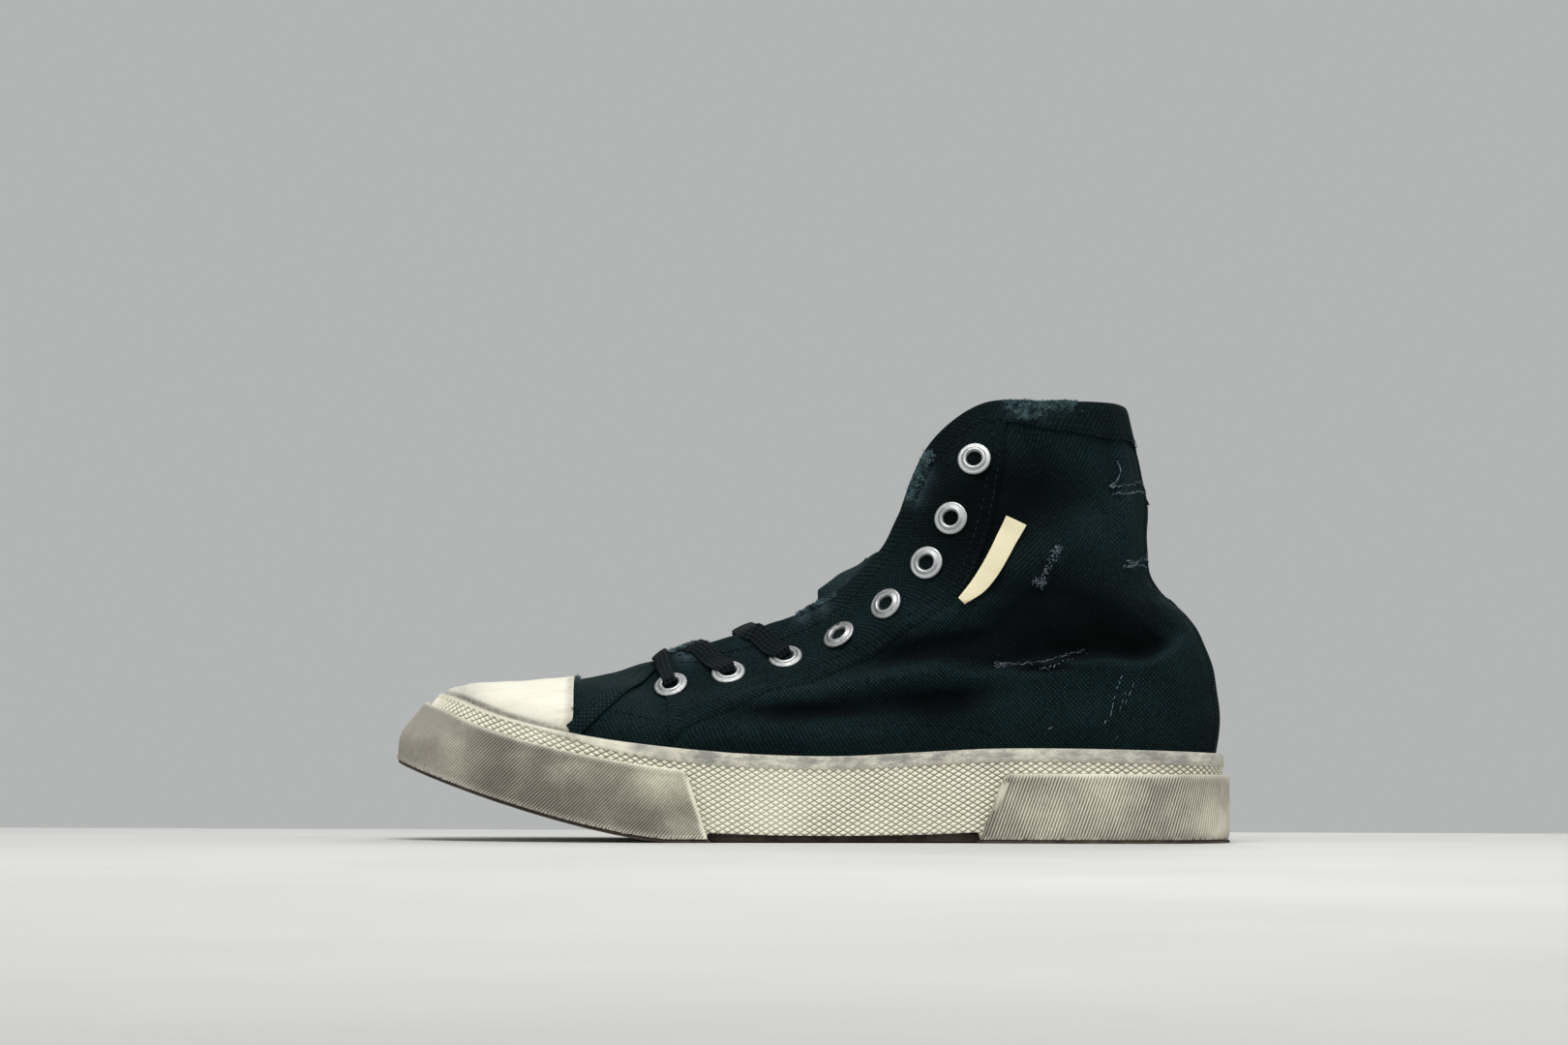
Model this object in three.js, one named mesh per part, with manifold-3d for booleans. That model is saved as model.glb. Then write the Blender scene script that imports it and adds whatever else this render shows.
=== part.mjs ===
import * as THREE from 'three';
import { mergeVertices } from 'three/addons/utils/BufferGeometryUtils.js';
import Module from 'manifold-3d';

const wasm = await Module();
wasm.setup();

// A worn high-top canvas sneaker, left foot. Millimetres, the floor at Z = 0.
// X runs from the toe to the heel, and -Y is the outer side of the foot.

// Thicknesses, and the clearance that neighbours keep.
const clearance = 0.3;
const bumperThickness = 2;
const cupThickness = 3;
const canvasThickness = 1.8;
const capThickness = 1.1;
const tongueThickness = 2.2;
const insoleThickness = 4;
const lipThickness = 1;
const outsoleThickness = 3.2;
const cupFloorHeight = 7.5;
const heelRise = 7;

// Insets from the outermost outline of the sole.
const cupFace = bumperThickness + clearance;
const cupInside = cupFace + cupThickness;
const upperFace = cupInside + clearance;
const insoleEdge = upperFace + canvasThickness + 0.5;
const outsoleCore = 4.5;
const cupRecess = outsoleCore - clearance;
const treadRim = 8;

// Toe spring: the sole leaves the floor at springStart and is springHeight up at the tip.
const tipX = -151;
const springStart = -50;
const springHeight = 28.1;
const springPower = 1.4;

// The top of the sole wall leans in over the toe.
const leanHeight = 14.7;
const leanSlope = 0.85;
const leanStations = 4;

// Slanted ends of the bumpers, as the x on the floor and the run per height.
const toeBumperEnd = { x: -36.6, run: -0.32 };
const heelBumperEnd = { x: 57.8, run: 0.39 };
const heelBumperTop = 24.2;
const toeBumperDrop = { tip: 3.4, perStation: 0.8 };
const archGap = { lip: 1.2, cup: 3 };

// Tread grooves that leave the main lugs.
const groove = { width: 2.6, depth: 1.8, pitch: 13 };
const grooveRuns = [{ from: -128, to: -50 }, { from: 72, to: 136 }];

const capBackEdge = -87;
const eyeletSize = { outer: 6.1, hole: 2.6, height: 1.5, lift: 1.3 };
const eyelets = [
  [-50.3, 53.9], [-30.2, 58.8], [-9.9, 65.1], [9.6, 72.9],
  [26.2, 84.2], [40.4, 99], [49, 115], [57.6, 135.9],
];
const lace = {
  width: 7,
  thickness: 1.4,
  lift: 3.9,
  crossings: [[0, 0], [1, 0], [0, 1], [2, 1], [1, 2]],
  // Shares of the way to the throat's middle and edge, and the lift there.
  leg: [{ along: 0.4, up: 0.45, lift: 3.2 }, { along: 0.75, up: 0.85, lift: 3.4 }],
  aheadOfMiddle: 0.05,
  crown: new THREE.Vector3(-1.6, 0, 4.4),
  crownNormal: new THREE.Vector3(-0.4, 0, 0.9),
};
const strip = {
  line: [[71.4, 114.2], [67.2, 104.6], [62.2, 96.2], [57.2, 88.8], [52.6, 84.9]],
  widths: [8, 5.6, 6, 4.6, 2.6],
  lift: 0.6,
  thickness: 0.9,
};

// Sections of the upper, from the edge of the sole wall to the top edge.
// Each knot is the share of the way inward and the share of the rise.
const toeSection = [
  [0, 0], [0.11, 0.3], [0.24, 0.53], [0.37, 0.71], [0.5, 0.84],
  [0.63, 0.92], [0.76, 0.97], [0.88, 1], [1, 1],
];
const vampSection = [
  [0, 0], [0.01, 0.25], [0.05, 0.48], [0.12, 0.67], [0.24, 0.82],
  [0.41, 0.92], [0.6, 0.975], [0.8, 1], [1, 1],
];
const throatSection = [
  [0, 0], [0, 0.15], [0.05, 0.3], [0.15, 0.43], [0.29, 0.54],
  [0.46, 0.65], [0.64, 0.8], [0.82, 0.94], [1, 1],
];
const instepSection = [
  [0, 0], [-0.03, 0.12], [-0.03, 0.25], [0.03, 0.38], [0.15, 0.49],
  [0.31, 0.59], [0.5, 0.68], [0.73, 0.8], [1, 1],
];
const ankleFrontSection = [
  [0, 0], [-0.07, 0.12], [-0.09, 0.25], [-0.06, 0.38], [0.02, 0.5],
  [0.14, 0.62], [0.32, 0.74], [0.6, 0.88], [1, 1],
];
const ankleSection = [
  [0, 0], [-0.08, 0.1], [-0.12, 0.22], [-0.1, 0.34], [-0.02, 0.47],
  [0.08, 0.6], [0.2, 0.72], [0.45, 0.87], [1, 1],
];
const collarSection = [
  [0, 0], [-0.07, 0.1], [-0.1, 0.22], [-0.04, 0.34], [0.08, 0.46],
  [0.2, 0.58], [0.34, 0.7], [0.58, 0.86], [1, 1],
];
const quarterSection = [
  [0, 0], [-0.03, 0.1], [0, 0.22], [0.12, 0.33], [0.35, 0.43],
  [0.58, 0.53], [0.7, 0.66], [0.82, 0.83], [1, 1],
];
const backSection = [
  [0, 0], [-0.05, 0.1], [0, 0.21], [0.1, 0.31], [0.3, 0.4],
  [0.63, 0.47], [0.77, 0.56], [0.79, 0.77], [1, 1],
];

// One row per station, from the toe tip to the back of the heel.
const rows = [
  // x, outer y, inner y, wall top, edge x, edge z, half gap, section
  [tipX, 6, 6, 52.6, -125, 54.6, 10.5, toeSection],
  [-146, -14, 22, 52.2, -121.5, 55, 10.5, toeSection],
  [-132, -32, 36, 49.6, -114, 55.6, 10.5, vampSection],
  [-110, -44.5, 47, 43.2, -102, 56.2, 10.5, vampSection],
  [-80, -51.5, 52.5, 36.8, -82, 58.6, 10.5, vampSection],
  [-50, -53, 50, 32.9, -57, 65.5, 10.5, throatSection],
  [-20, -49, 42, 30.6, -27, 73.2, 11.5, instepSection],
  [10, -44.5, 34.5, 30.1, 3, 85.4, 12.5, instepSection],
  [38, -40.5, 32.5, 31.6, 26, 106.5, 16, ankleFrontSection],
  [62, -39, 33.5, 32.9, 41, 141, 17.5, ankleSection],
  [86, -38.5, 35, 33.1, 61, 157, 20, collarSection],
  [110, -36.5, 35.5, 32.8, 84, 156.6, 29, quarterSection],
  [132, -30, 30, 32.3, 101.5, 157, 24, backSection],
  [146, -17, 17, 31.9, 110.8, 156.8, 13, backSection],
  [151, 0, 0, 31.7, 114, 153.5, 0, backSection],
];
const last = rows.length - 1;
const throatStart = 5;
const throatRound = 0.5;
const outer = -1;
const inner = 1;
const stepsPerStation = 3;
const heightSteps = 10;
const stationSteps = range(0, last, last * stepsPerStation);

function range(from, to, count) {
  return Array.from({ length: count + 1 }, (_, i) => from + ((to - from) * i) / count);
}

function mirrorIndex(i) {
  const folded = Math.abs(i);
  return folded > last ? 2 * last - folded : folded;
}

// Smooth curve through the values at whole numbers.
function spline(valueAt, t) {
  const i = Math.floor(t);
  const f = t - i;
  const [a, b, c, d] = [valueAt(i - 1), valueAt(i), valueAt(i + 1), valueAt(i + 2)];
  return b + 0.5 * f * (c - a + f * (2 * a - 5 * b + 4 * c - d + f * (3 * (b - c) + d - a)));
}

function along(column, u) {
  return spline((i) => rows[mirrorIndex(i)][column], u);
}

function outlineY(side, u) {
  const column = (i) => ((i < 0 || i > last ? -side : side) === outer ? 1 : 2);
  return spline((i) => rows[mirrorIndex(i)][column(i)], u);
}

function outline(side, u) {
  const beyond = u < 0 || u > last;
  const folded = beyond ? (u < 0 ? -u : 2 * last - u) : u;
  return new THREE.Vector2(along(0, folded), outlineY(beyond ? -side : side, folded));
}

function inward(side, u) {
  const ahead = outline(side, u + 0.01);
  const behind = outline(side, u - 0.01);
  const tangent = ahead.sub(behind).normalize();
  return new THREE.Vector2(side * tangent.y, -side * tangent.x);
}

function springZ(x) {
  const share = Math.max(0, (springStart - x) / (springStart - tipX));
  return springHeight * share ** springPower;
}

function floorTop(x) {
  return 0.92 * springZ(x) + cupFloorHeight + heelRise * THREE.MathUtils.smoothstep(x, -10, 90);
}

function wallTop(u) {
  return along(3, u);
}

function leanLine(u) {
  return wallTop(u) - leanHeight;
}

// A point of the sole's side at station u and height z, the given inset behind the outline.
function wallPoint(side, u, z, inset) {
  const fade = Math.max(0, 1 - (u / leanStations) ** 2) ** 2;
  const lean = leanSlope * fade * Math.max(0, z - leanLine(u));
  const point = outline(side, u).addScaledVector(inward(side, u), inset + lean);
  return new THREE.Vector3(point.x, point.y, z);
}

function halfGap(u) {
  const q = THREE.MathUtils.clamp((u - throatStart) / throatRound, 0, 1);
  const open = u > throatStart && u < last - 1e-6;
  return open ? along(6, u) * Math.sqrt(q * (2 - q)) : 0;
}

function centreY(x) {
  return (rows[0][1] * THREE.MathUtils.clamp(-20 - x, 0, -20 - tipX)) / (-20 - tipX);
}

function topEdge(side, u) {
  const x = along(4, u);
  return new THREE.Vector3(x, centreY(x) + side * halfGap(u), along(5, u));
}

function sectionShare(u, v, axis) {
  const knotAt = (section, j) => {
    const ends = section.length - 1;
    const near = THREE.MathUtils.clamp(j, 0, ends);
    const next = near === 0 ? 1 : ends - 1;
    const beyond = j < 0 ? -j : Math.max(0, j - ends);
    return section[near][axis] + beyond * (section[near][axis] - section[next][axis]);
  };
  const share = (i) => {
    const section = rows[mirrorIndex(i)][7];
    return spline((j) => knotAt(section, j), v * (section.length - 1));
  };
  return spline(share, u);
}

// The outside of the upper: v is -1 at the bottom rim, 0 at the sole wall's edge, 1 at the top edge.
function upperPoint(side, u, v) {
  const seam = wallTop(u) + 0.5;
  if (v <= 0) {
    const foot = wallPoint(side, u, leanLine(u), upperFace);
    const rim = floorTop(foot.x) + clearance;
    const z = v < -0.5
      ? THREE.MathUtils.lerp(rim, leanLine(u), 2 * v + 2)
      : THREE.MathUtils.lerp(leanLine(u), seam, 2 * v + 1);
    return wallPoint(side, u, z, upperFace);
  }
  const from = wallPoint(side, u, seam, upperFace);
  const to = topEdge(side, u);
  const reach = sectionShare(u, v, 0);
  return new THREE.Vector3(
    from.x + (to.x - from.x) * reach,
    from.y + (to.y - from.y) * reach,
    from.z + (to.z - from.z) * sectionShare(u, v, 1),
  );
}

function upperNormal(side, u, v) {
  const step = 0.02;
  const low = Math.max(v - step, 0);
  const high = Math.min(v + step, 1);
  const alongU = upperPoint(side, u + step, v).sub(upperPoint(side, u - step, v));
  const alongV = upperPoint(side, u, high).sub(upperPoint(side, u, low));
  return alongU.cross(alongV).multiplyScalar(-side).normalize();
}

// The station and height of the place on one side of the upper seen at x and z.
function spotAt(side, x, z) {
  const miss = (u, v) => {
    const point = upperPoint(side, u, v);
    return Math.hypot(point.x - x, point.z - z);
  };
  let best = { u: 8, v: 0.6 };
  for (let reach = 3; reach > 1e-4; reach *= 0.7) {
    const centre = best;
    for (const du of [-reach, 0, reach]) {
      for (const dv of [-reach / 7, 0, reach / 7]) {
        const spot = {
          u: THREE.MathUtils.clamp(centre.u + du, 4, 12),
          v: THREE.MathUtils.clamp(centre.v + dv, 0.05, 1),
        };
        if (miss(spot.u, spot.v) < miss(best.u, best.v)) best = spot;
      }
    }
  }
  return best;
}

// Triangles over a grid of points, with flip for the mirrored winding.
function patch(points, flip = false) {
  const triangles = [];
  for (let i = 0; i + 1 < points.length; i += 1) {
    for (let j = 0; j + 1 < points[i].length; j += 1) {
      const [a, b] = [points[i][j], points[i + 1][j]];
      const [c, d] = [points[i + 1][j + 1], points[i][j + 1]];
      triangles.push(...(flip ? [a, c, b, a, d, c] : [a, b, c, a, c, d]));
    }
  }
  return triangles;
}

// Joins corners that coincide and drops the triangles that this closes up.
function weld(corners) {
  const loose = new THREE.BufferGeometry().setFromPoints(corners);
  const geometry = mergeVertices(loose, 1e-3);
  const index = geometry.index.array;
  const kept = [];
  for (let i = 0; i < index.length; i += 3) {
    const [a, b, c] = index.slice(i, i + 3);
    if (a !== b && b !== c && c !== a) kept.push(a, b, c);
  }
  geometry.setIndex(kept);
  return geometry;
}

function volume(geometry) {
  const position = geometry.attributes.position;
  const index = geometry.index.array;
  const corner = (k) => new THREE.Vector3().fromBufferAttribute(position, index[k]);
  let total = 0;
  for (let i = 0; i < index.length; i += 3) {
    total += corner(i).dot(corner(i + 1).cross(corner(i + 2))) / 6;
  }
  return total;
}

function turnedOut(geometry) {
  if (volume(geometry) < 0) {
    geometry.setIndex([...geometry.index.array].reverse());
  }
  return geometry;
}

// A closed wall between two offsets of an open surface.
function shell(surface, near, far) {
  surface.computeVertexNormals();
  const { position, normal } = surface.attributes;
  const index = surface.index.array;
  const edges = new Map();
  for (let i = 0; i < index.length; i += 1) {
    const a = index[i];
    const b = index[i % 3 === 2 ? i - 2 : i + 1];
    if (!edges.delete(`${b} ${a}`)) edges.set(`${a} ${b}`, [a, b]);
  }
  const moved = (k, offset) => {
    const direction = new THREE.Vector3().fromBufferAttribute(normal, k);
    return new THREE.Vector3().fromBufferAttribute(position, k).addScaledVector(direction, offset);
  };
  const corners = [];
  for (let i = 0; i < index.length; i += 3) {
    const [a, b, c] = index.slice(i, i + 3);
    corners.push(moved(a, far), moved(b, far), moved(c, far));
    corners.push(moved(a, near), moved(c, near), moved(b, near));
  }
  for (const [a, b] of edges.values()) {
    corners.push(moved(b, far), moved(a, far), moved(a, near));
    corners.push(moved(b, far), moved(a, near), moved(b, near));
  }
  return turnedOut(weld(corners));
}

function upperSurface(us, vs) {
  const half = (side) => us.map((u) => vs.map((v) => upperPoint(side, u, v)));
  return weld([...patch(half(outer)), ...patch(half(inner), true)]);
}

// A solid of the sole's plan at one inset, between two heights given by station and x.
function soleForm(inset, lowAt, highAt) {
  const levels = (side, u) => {
    const { x } = wallPoint(side, u, leanLine(u), inset);
    const low = lowAt(u, x);
    const high = highAt(u, x);
    return [low, THREE.MathUtils.clamp(leanLine(u), low, high), high];
  };
  const column = (side, u) => levels(side, u).map((z) => wallPoint(side, u, z, inset));
  const half = (side) => stationSteps.map((u) => column(side, u));
  const near = half(outer);
  const far = half(inner);
  const floor = stationSteps.map((_, i) => [near[i][0], far[i][0]]);
  const lid = stationSteps.map((_, i) => [near[i][2], far[i][2]]);
  return turnedOut(weld([...patch(near), ...patch(far, true), ...patch(floor, true), ...patch(lid)]));
}

function toSolid(geometry) {
  const plain = geometry.index ? geometry.clone() : mergeVertices(bare(geometry), 1e-3);
  return new wasm.Manifold(new wasm.Mesh({
    numProp: 3,
    vertProperties: new Float32Array(plain.attributes.position.array),
    triVerts: new Uint32Array(plain.index.array),
  }));
}

function bare(geometry) {
  const copy = geometry.clone();
  copy.deleteAttribute('normal');
  copy.deleteAttribute('uv');
  return copy;
}

function toGeometry(solid) {
  const mesh = solid.getMesh();
  const geometry = new THREE.BufferGeometry();
  geometry.setAttribute('position', new THREE.BufferAttribute(mesh.vertProperties, 3));
  geometry.setIndex(new THREE.BufferAttribute(mesh.triVerts, 1));
  return geometry;
}

// A bar across the shoe with its outline given in x and z.
function crossBar(corners) {
  const width = 200;
  const shape = new THREE.Shape(corners.map(([x, z]) => new THREE.Vector2(x, z)));
  const geometry = new THREE.ExtrudeGeometry(shape, { depth: width, bevelEnabled: false });
  geometry.rotateX(Math.PI / 2);
  geometry.translate(0, width / 2, 0);
  return toSolid(mergeVertices(bare(geometry), 1e-3));
}

const above = (height) => (u, x) => springZ(x) + height;

function archBar(height) {
  return crossBar([
    [toeBumperEnd.x + clearance, -2], [heelBumperEnd.x - clearance, -2],
    [heelBumperEnd.x - clearance, height], [toeBumperEnd.x + clearance, height],
  ]);
}

function outsole() {
  const lip = toSolid(soleForm(0, above(0), above(lipThickness))).subtract(archBar(archGap.lip));
  const core = toSolid(soleForm(outsoleCore, above(lipThickness / 2), above(outsoleThickness)));
  const tread = toSolid(soleForm(treadRim, above(-3), above(groove.depth)));
  let body = lip.add(core);
  for (const { from, to } of grooveRuns) {
    for (let x = from; x + groove.width < to; x += groove.pitch) {
      const slot = crossBar([[x, -5], [x + groove.width, -5], [x + groove.width, 40], [x, 40]]);
      body = body.subtract(slot.intersect(tread));
    }
  }
  return toGeometry(body);
}

function soleWall() {
  const block = toSolid(soleForm(cupFace, above(lipThickness + clearance), wallTop));
  const hollow = toSolid(soleForm(cupInside, (u, x) => floorTop(x), (u) => wallTop(u) + 5));
  const recess = toSolid(soleForm(cupRecess, above(-3), above(outsoleThickness + clearance)));
  return toGeometry(block.subtract(hollow).subtract(recess).subtract(archBar(archGap.cup)));
}

function bumper(topAt, keep) {
  const face = toSolid(soleForm(0, above(lipThickness + clearance), topAt));
  const back = toSolid(soleForm(bumperThickness, above(-3), (u) => topAt(u) + 3));
  return toGeometry(face.subtract(back).intersect(keep));
}

function toeBumper() {
  const { x, run } = toeBumperEnd;
  const keep = crossBar([[-200, -5], [x - 5 * run, -5], [x + 80 * run, 80], [-200, 80]]);
  const drop = (u) => toeBumperDrop.tip + toeBumperDrop.perStation * Math.min(u, throatStart + 1);
  return bumper((u) => wallTop(u) - drop(u), keep);
}

function heelBumper() {
  const { x, run } = heelBumperEnd;
  const keep = crossBar([[x - 5 * run, -5], [200, -5], [200, 80], [x + 80 * run, 80]]);
  return bumper((u) => Math.min(heelBumperTop, wallTop(u) - 3), keep);
}

function insole() {
  const low = (u, x) => floorTop(x) + clearance;
  return soleForm(insoleEdge, low, (u, x) => low(u, x) + insoleThickness);
}

function upper() {
  const heights = [-1, -0.5, ...range(0, 1, heightSteps)];
  const rounded = [...stationSteps, throatStart + 0.08, throatStart + 0.2].sort((a, b) => a - b);
  return shell(upperSurface(rounded, heights), 0, -canvasThickness);
}

function toeCap() {
  const surface = upperSurface(range(0, 5, 5 * stepsPerStation), range(0, 1, heightSteps));
  const wall = toSolid(shell(surface, clearance, clearance + capThickness));
  const keep = crossBar([[-200, 0], [capBackEdge, 0], [capBackEdge, 100], [-200, 100]]);
  return toGeometry(wall.intersect(keep));
}

// The tongue's face: w runs from -1 to 1 across it, and bridges the throat between -0.5 and 0.5.
const tongueSpan = { from: 13 / 3, to: 29 / 3, underlap: 0.32, depth: canvasThickness + 1.3 };

// Heights of the tongue's middle over its sides, low in the throat and under the ankle's opening,
// for a half gap of 12, and the stations between which it drops.
const tongueCrown = { low: 5.5, high: -6, halfGap: 12, sag: 1.5, dropFrom: 7.7, dropTo: 8.6 };

function tonguePoint(u, w) {
  const side = w < 0 ? outer : inner;
  const sunk = (s, v) => upperPoint(s, u, v).addScaledVector(upperNormal(s, u, v), -tongueSpan.depth);
  if (Math.abs(w) > 0.5) return sunk(side, 1 - tongueSpan.underlap * (2 * Math.abs(w) - 1));
  const drop = THREE.MathUtils.smoothstep(u, tongueCrown.dropFrom, tongueCrown.dropTo);
  const crown = THREE.MathUtils.lerp(tongueCrown.low, tongueCrown.high, drop);
  return crownPoint(sunk, 2 * w, (crown * halfGap(u)) / tongueCrown.halfGap - tongueCrown.sag);
}

function crownPoint(sunk, across, crown) {
  const near = sunk(outer, 1);
  const far = sunk(inner, 1);
  const middle = near.clone().lerp(far, 0.5 + across / 2);
  const ridge = new THREE.Vector3(-0.5, 0, 0.86);
  return middle.addScaledVector(ridge, crown * (1 - across * across));
}

function tongue() {
  const us = range(tongueSpan.from, tongueSpan.to, 16);
  const ws = range(-1, 1, 8);
  const face = weld(patch(us.map((u) => ws.map((w) => tonguePoint(u, w)))));
  return shell(face, 0, -tongueThickness);
}

// A flat band along points, with its faces square to the normals.
function band(points, normals, widths, thickness) {
  const rings = points.map((point, i) => {
    const ahead = points[Math.min(i + 1, points.length - 1)];
    const behind = points[Math.max(i - 1, 0)];
    const across = ahead.clone().sub(behind).cross(normals[i]).setLength(widths[i] / 2);
    const up = normals[i].clone().setLength(thickness / 2);
    const corner = (a, b) => point.clone().addScaledVector(across, a).addScaledVector(up, b);
    return [corner(-1, -1), corner(1, -1), corner(1, 1), corner(-1, 1), corner(-1, -1)];
  });
  const cap = (ring) => [[ring[0], ring[1]], [ring[3], ring[2]]];
  const ends = [...patch(cap(rings[0])), ...patch(cap(rings[rings.length - 1]), true)];
  return turnedOut(weld([...patch(rings, true), ...ends]));
}

function laceCrossing(from, to) {
  const start = spotAt(outer, ...eyelets[from]);
  const end = spotAt(inner, ...eyelets[to]);
  const lifted = (side, u, v, lift) => ({
    point: upperPoint(side, u, v).addScaledVector(upperNormal(side, u, v), lift),
    normal: upperNormal(side, u, v),
  });
  const middle = (start.u + end.u) / 2 - lace.aheadOfMiddle;
  const leg = (side, spot) => [{ along: 0, up: 0, lift: lace.lift }, ...lace.leg].map((k) => {
    const u = THREE.MathUtils.lerp(spot.u, middle, k.along);
    return lifted(side, u, THREE.MathUtils.lerp(spot.v, 1, k.up), k.lift);
  });
  const crown = { point: tonguePoint(middle, 0).add(lace.crown), normal: lace.crownNormal };
  const route = [...leg(outer, start), crown, ...leg(inner, end).reverse()];
  const widths = route.map(() => lace.width);
  return toSolid(band(route.map((k) => k.point), route.map((k) => k.normal), widths, lace.thickness));
}

function laces() {
  const crossings = lace.crossings.map(([from, to]) => laceCrossing(from, to));
  return toGeometry(crossings.reduce((joined, next) => joined.add(next)));
}

function sideStrip() {
  const spots = strip.line.map(([x, z]) => spotAt(outer, x, z));
  const normals = spots.map(({ u, v }) => upperNormal(outer, u, v));
  const lift = strip.lift + strip.thickness / 2;
  const points = spots.map(({ u, v }, i) => upperPoint(outer, u, v).addScaledVector(normals[i], lift));
  return band(points, normals, strip.widths, strip.thickness);
}

function eyeletRing() {
  const { outer: rim, hole, height } = eyeletSize;
  const profile = [[hole, 0], [rim, 0], [rim - 0.4, 0.5 * height], [hole + 0.9, height], [hole, 0]];
  const geometry = new THREE.LatheGeometry(profile.map(([r, y]) => new THREE.Vector2(r, y)), 12);
  geometry.rotateX(Math.PI / 2);
  return mergeVertices(bare(geometry), 1e-3);
}

const rubber = { color: 0xd8d3bd, roughness: 0.7, metalness: 0 };
const dirtyRubber = { color: 0xa9a294, roughness: 0.8, metalness: 0 };
const darkRubber = { color: 0x3a2a22, roughness: 0.8, metalness: 0 };
const canvas = { color: 0x0c1a1e, roughness: 0.95, metalness: 0 };
const lining = { color: 0x151d20, roughness: 0.95, metalness: 0 };
const aluminium = { color: 0xb9bdbf, roughness: 0.35, metalness: 0.9 };
const ribbon = { color: 0xe3dbb0, roughness: 0.85, metalness: 0 };

const shoe = new THREE.Group();

function addPiece(name, geometry, finish) {
  const piece = new THREE.Mesh(geometry, new THREE.MeshStandardMaterial(finish));
  piece.name = name;
  shoe.add(piece);
  return piece;
}

function addEyelet(name, side, [x, z]) {
  const { u, v } = spotAt(side, x, z);
  const normal = upperNormal(side, u, v);
  const piece = addPiece(name, turnedOut(eyeletRing()), aluminium);
  piece.position.copy(upperPoint(side, u, v).addScaledVector(normal, eyeletSize.lift));
  piece.quaternion.setFromUnitVectors(new THREE.Vector3(0, 0, 1), normal);
}

addPiece('outsole', outsole(), darkRubber);
addPiece('sole_wall', soleWall(), rubber);
addPiece('toe_bumper', toeBumper(), dirtyRubber);
addPiece('heel_bumper', heelBumper(), dirtyRubber);
addPiece('insole', insole(), lining);
addPiece('upper', upper(), canvas);
addPiece('toe_cap', toeCap(), rubber);
addPiece('tongue', tongue(), canvas);
addPiece('lace_crossings', laces(), canvas);
addPiece('side_strip', sideStrip(), ribbon);
eyelets.forEach((place, i) => {
  addEyelet(`eyelet_outer_${i + 1}`, outer, place);
  addEyelet(`eyelet_inner_${i + 1}`, inner, place);
});

export default shoe;
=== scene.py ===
import math

import bpy
import numpy as np
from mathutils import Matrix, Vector


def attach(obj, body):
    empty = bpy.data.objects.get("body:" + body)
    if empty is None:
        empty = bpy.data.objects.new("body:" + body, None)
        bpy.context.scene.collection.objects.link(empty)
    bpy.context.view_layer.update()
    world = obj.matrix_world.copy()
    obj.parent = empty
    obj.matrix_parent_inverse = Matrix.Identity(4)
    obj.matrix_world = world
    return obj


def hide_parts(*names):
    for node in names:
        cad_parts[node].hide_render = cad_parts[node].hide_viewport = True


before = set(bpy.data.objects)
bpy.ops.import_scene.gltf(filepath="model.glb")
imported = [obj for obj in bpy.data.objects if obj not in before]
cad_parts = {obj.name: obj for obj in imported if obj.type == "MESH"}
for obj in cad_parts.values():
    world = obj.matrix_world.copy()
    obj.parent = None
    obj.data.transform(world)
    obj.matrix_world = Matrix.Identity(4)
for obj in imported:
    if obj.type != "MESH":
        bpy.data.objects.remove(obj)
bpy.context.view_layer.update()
print("frame loaded")

# Camera and studio come first. Places are millimetres in the shoe's own frame, toe at -x and floor at z = 0.
mm = 0.001
cameraView = {"lens": 77, "sensor": 36, "place": (-10.5, -1221, 22), "pitch": 94.39, "roll": -0.22}
studio = {
    "tone": (0.50, 0.50, 0.49), "width": 3000, "depth": 1700, "behind": 245,   # the floor is a wide table top
    "air": (0.965, 1.0, 0.985), "airStrength": 0.46,
}
lamps = [
    # place, aim, size, watts, colour
    ((-60, -520, 1150), (0, 0, 60), 620, 13.0, (1.0, 0.985, 0.96)),
    ((-950, -900, 420), (-60, 0, 40), 600, 3.0, (0.95, 0.98, 1.0)),
    ((850, -620, 640), (70, 0, 60), 420, 2.5, (1.0, 0.99, 0.97)),
    ((250, 950, 800), (0, 0, 50), 500, 4.0, (1.0, 1.0, 1.0)),
]


def deselectAll():
    if bpy.context.mode != "OBJECT":
        bpy.ops.object.mode_set(mode="OBJECT")
    bpy.ops.object.select_all(action="DESELECT")


def chooseOnly(piece):
    deselectAll()
    piece.select_set(True)
    bpy.context.view_layer.objects.active = piece


def makeCamera():
    turn = (math.radians(cameraView["pitch"]), math.radians(cameraView["roll"]), 0)
    bpy.ops.object.camera_add(location=Vector(cameraView["place"]) * mm, rotation=turn)
    camera = bpy.context.object
    camera.data.lens = cameraView["lens"]
    camera.data.sensor_width = cameraView["sensor"]
    camera.data.clip_start = 0.01
    bpy.context.scene.camera = camera


def makeLamp(place, aim, size, watts, colour):
    bpy.ops.object.light_add(type="AREA", location=Vector(place) * mm)
    lamp = bpy.context.object
    lamp.data.size = size * mm
    lamp.data.energy = watts
    lamp.data.color = colour
    lamp.rotation_euler = (Vector(aim) - Vector(place)).to_track_quat("-Z", "Y").to_euler()


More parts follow.
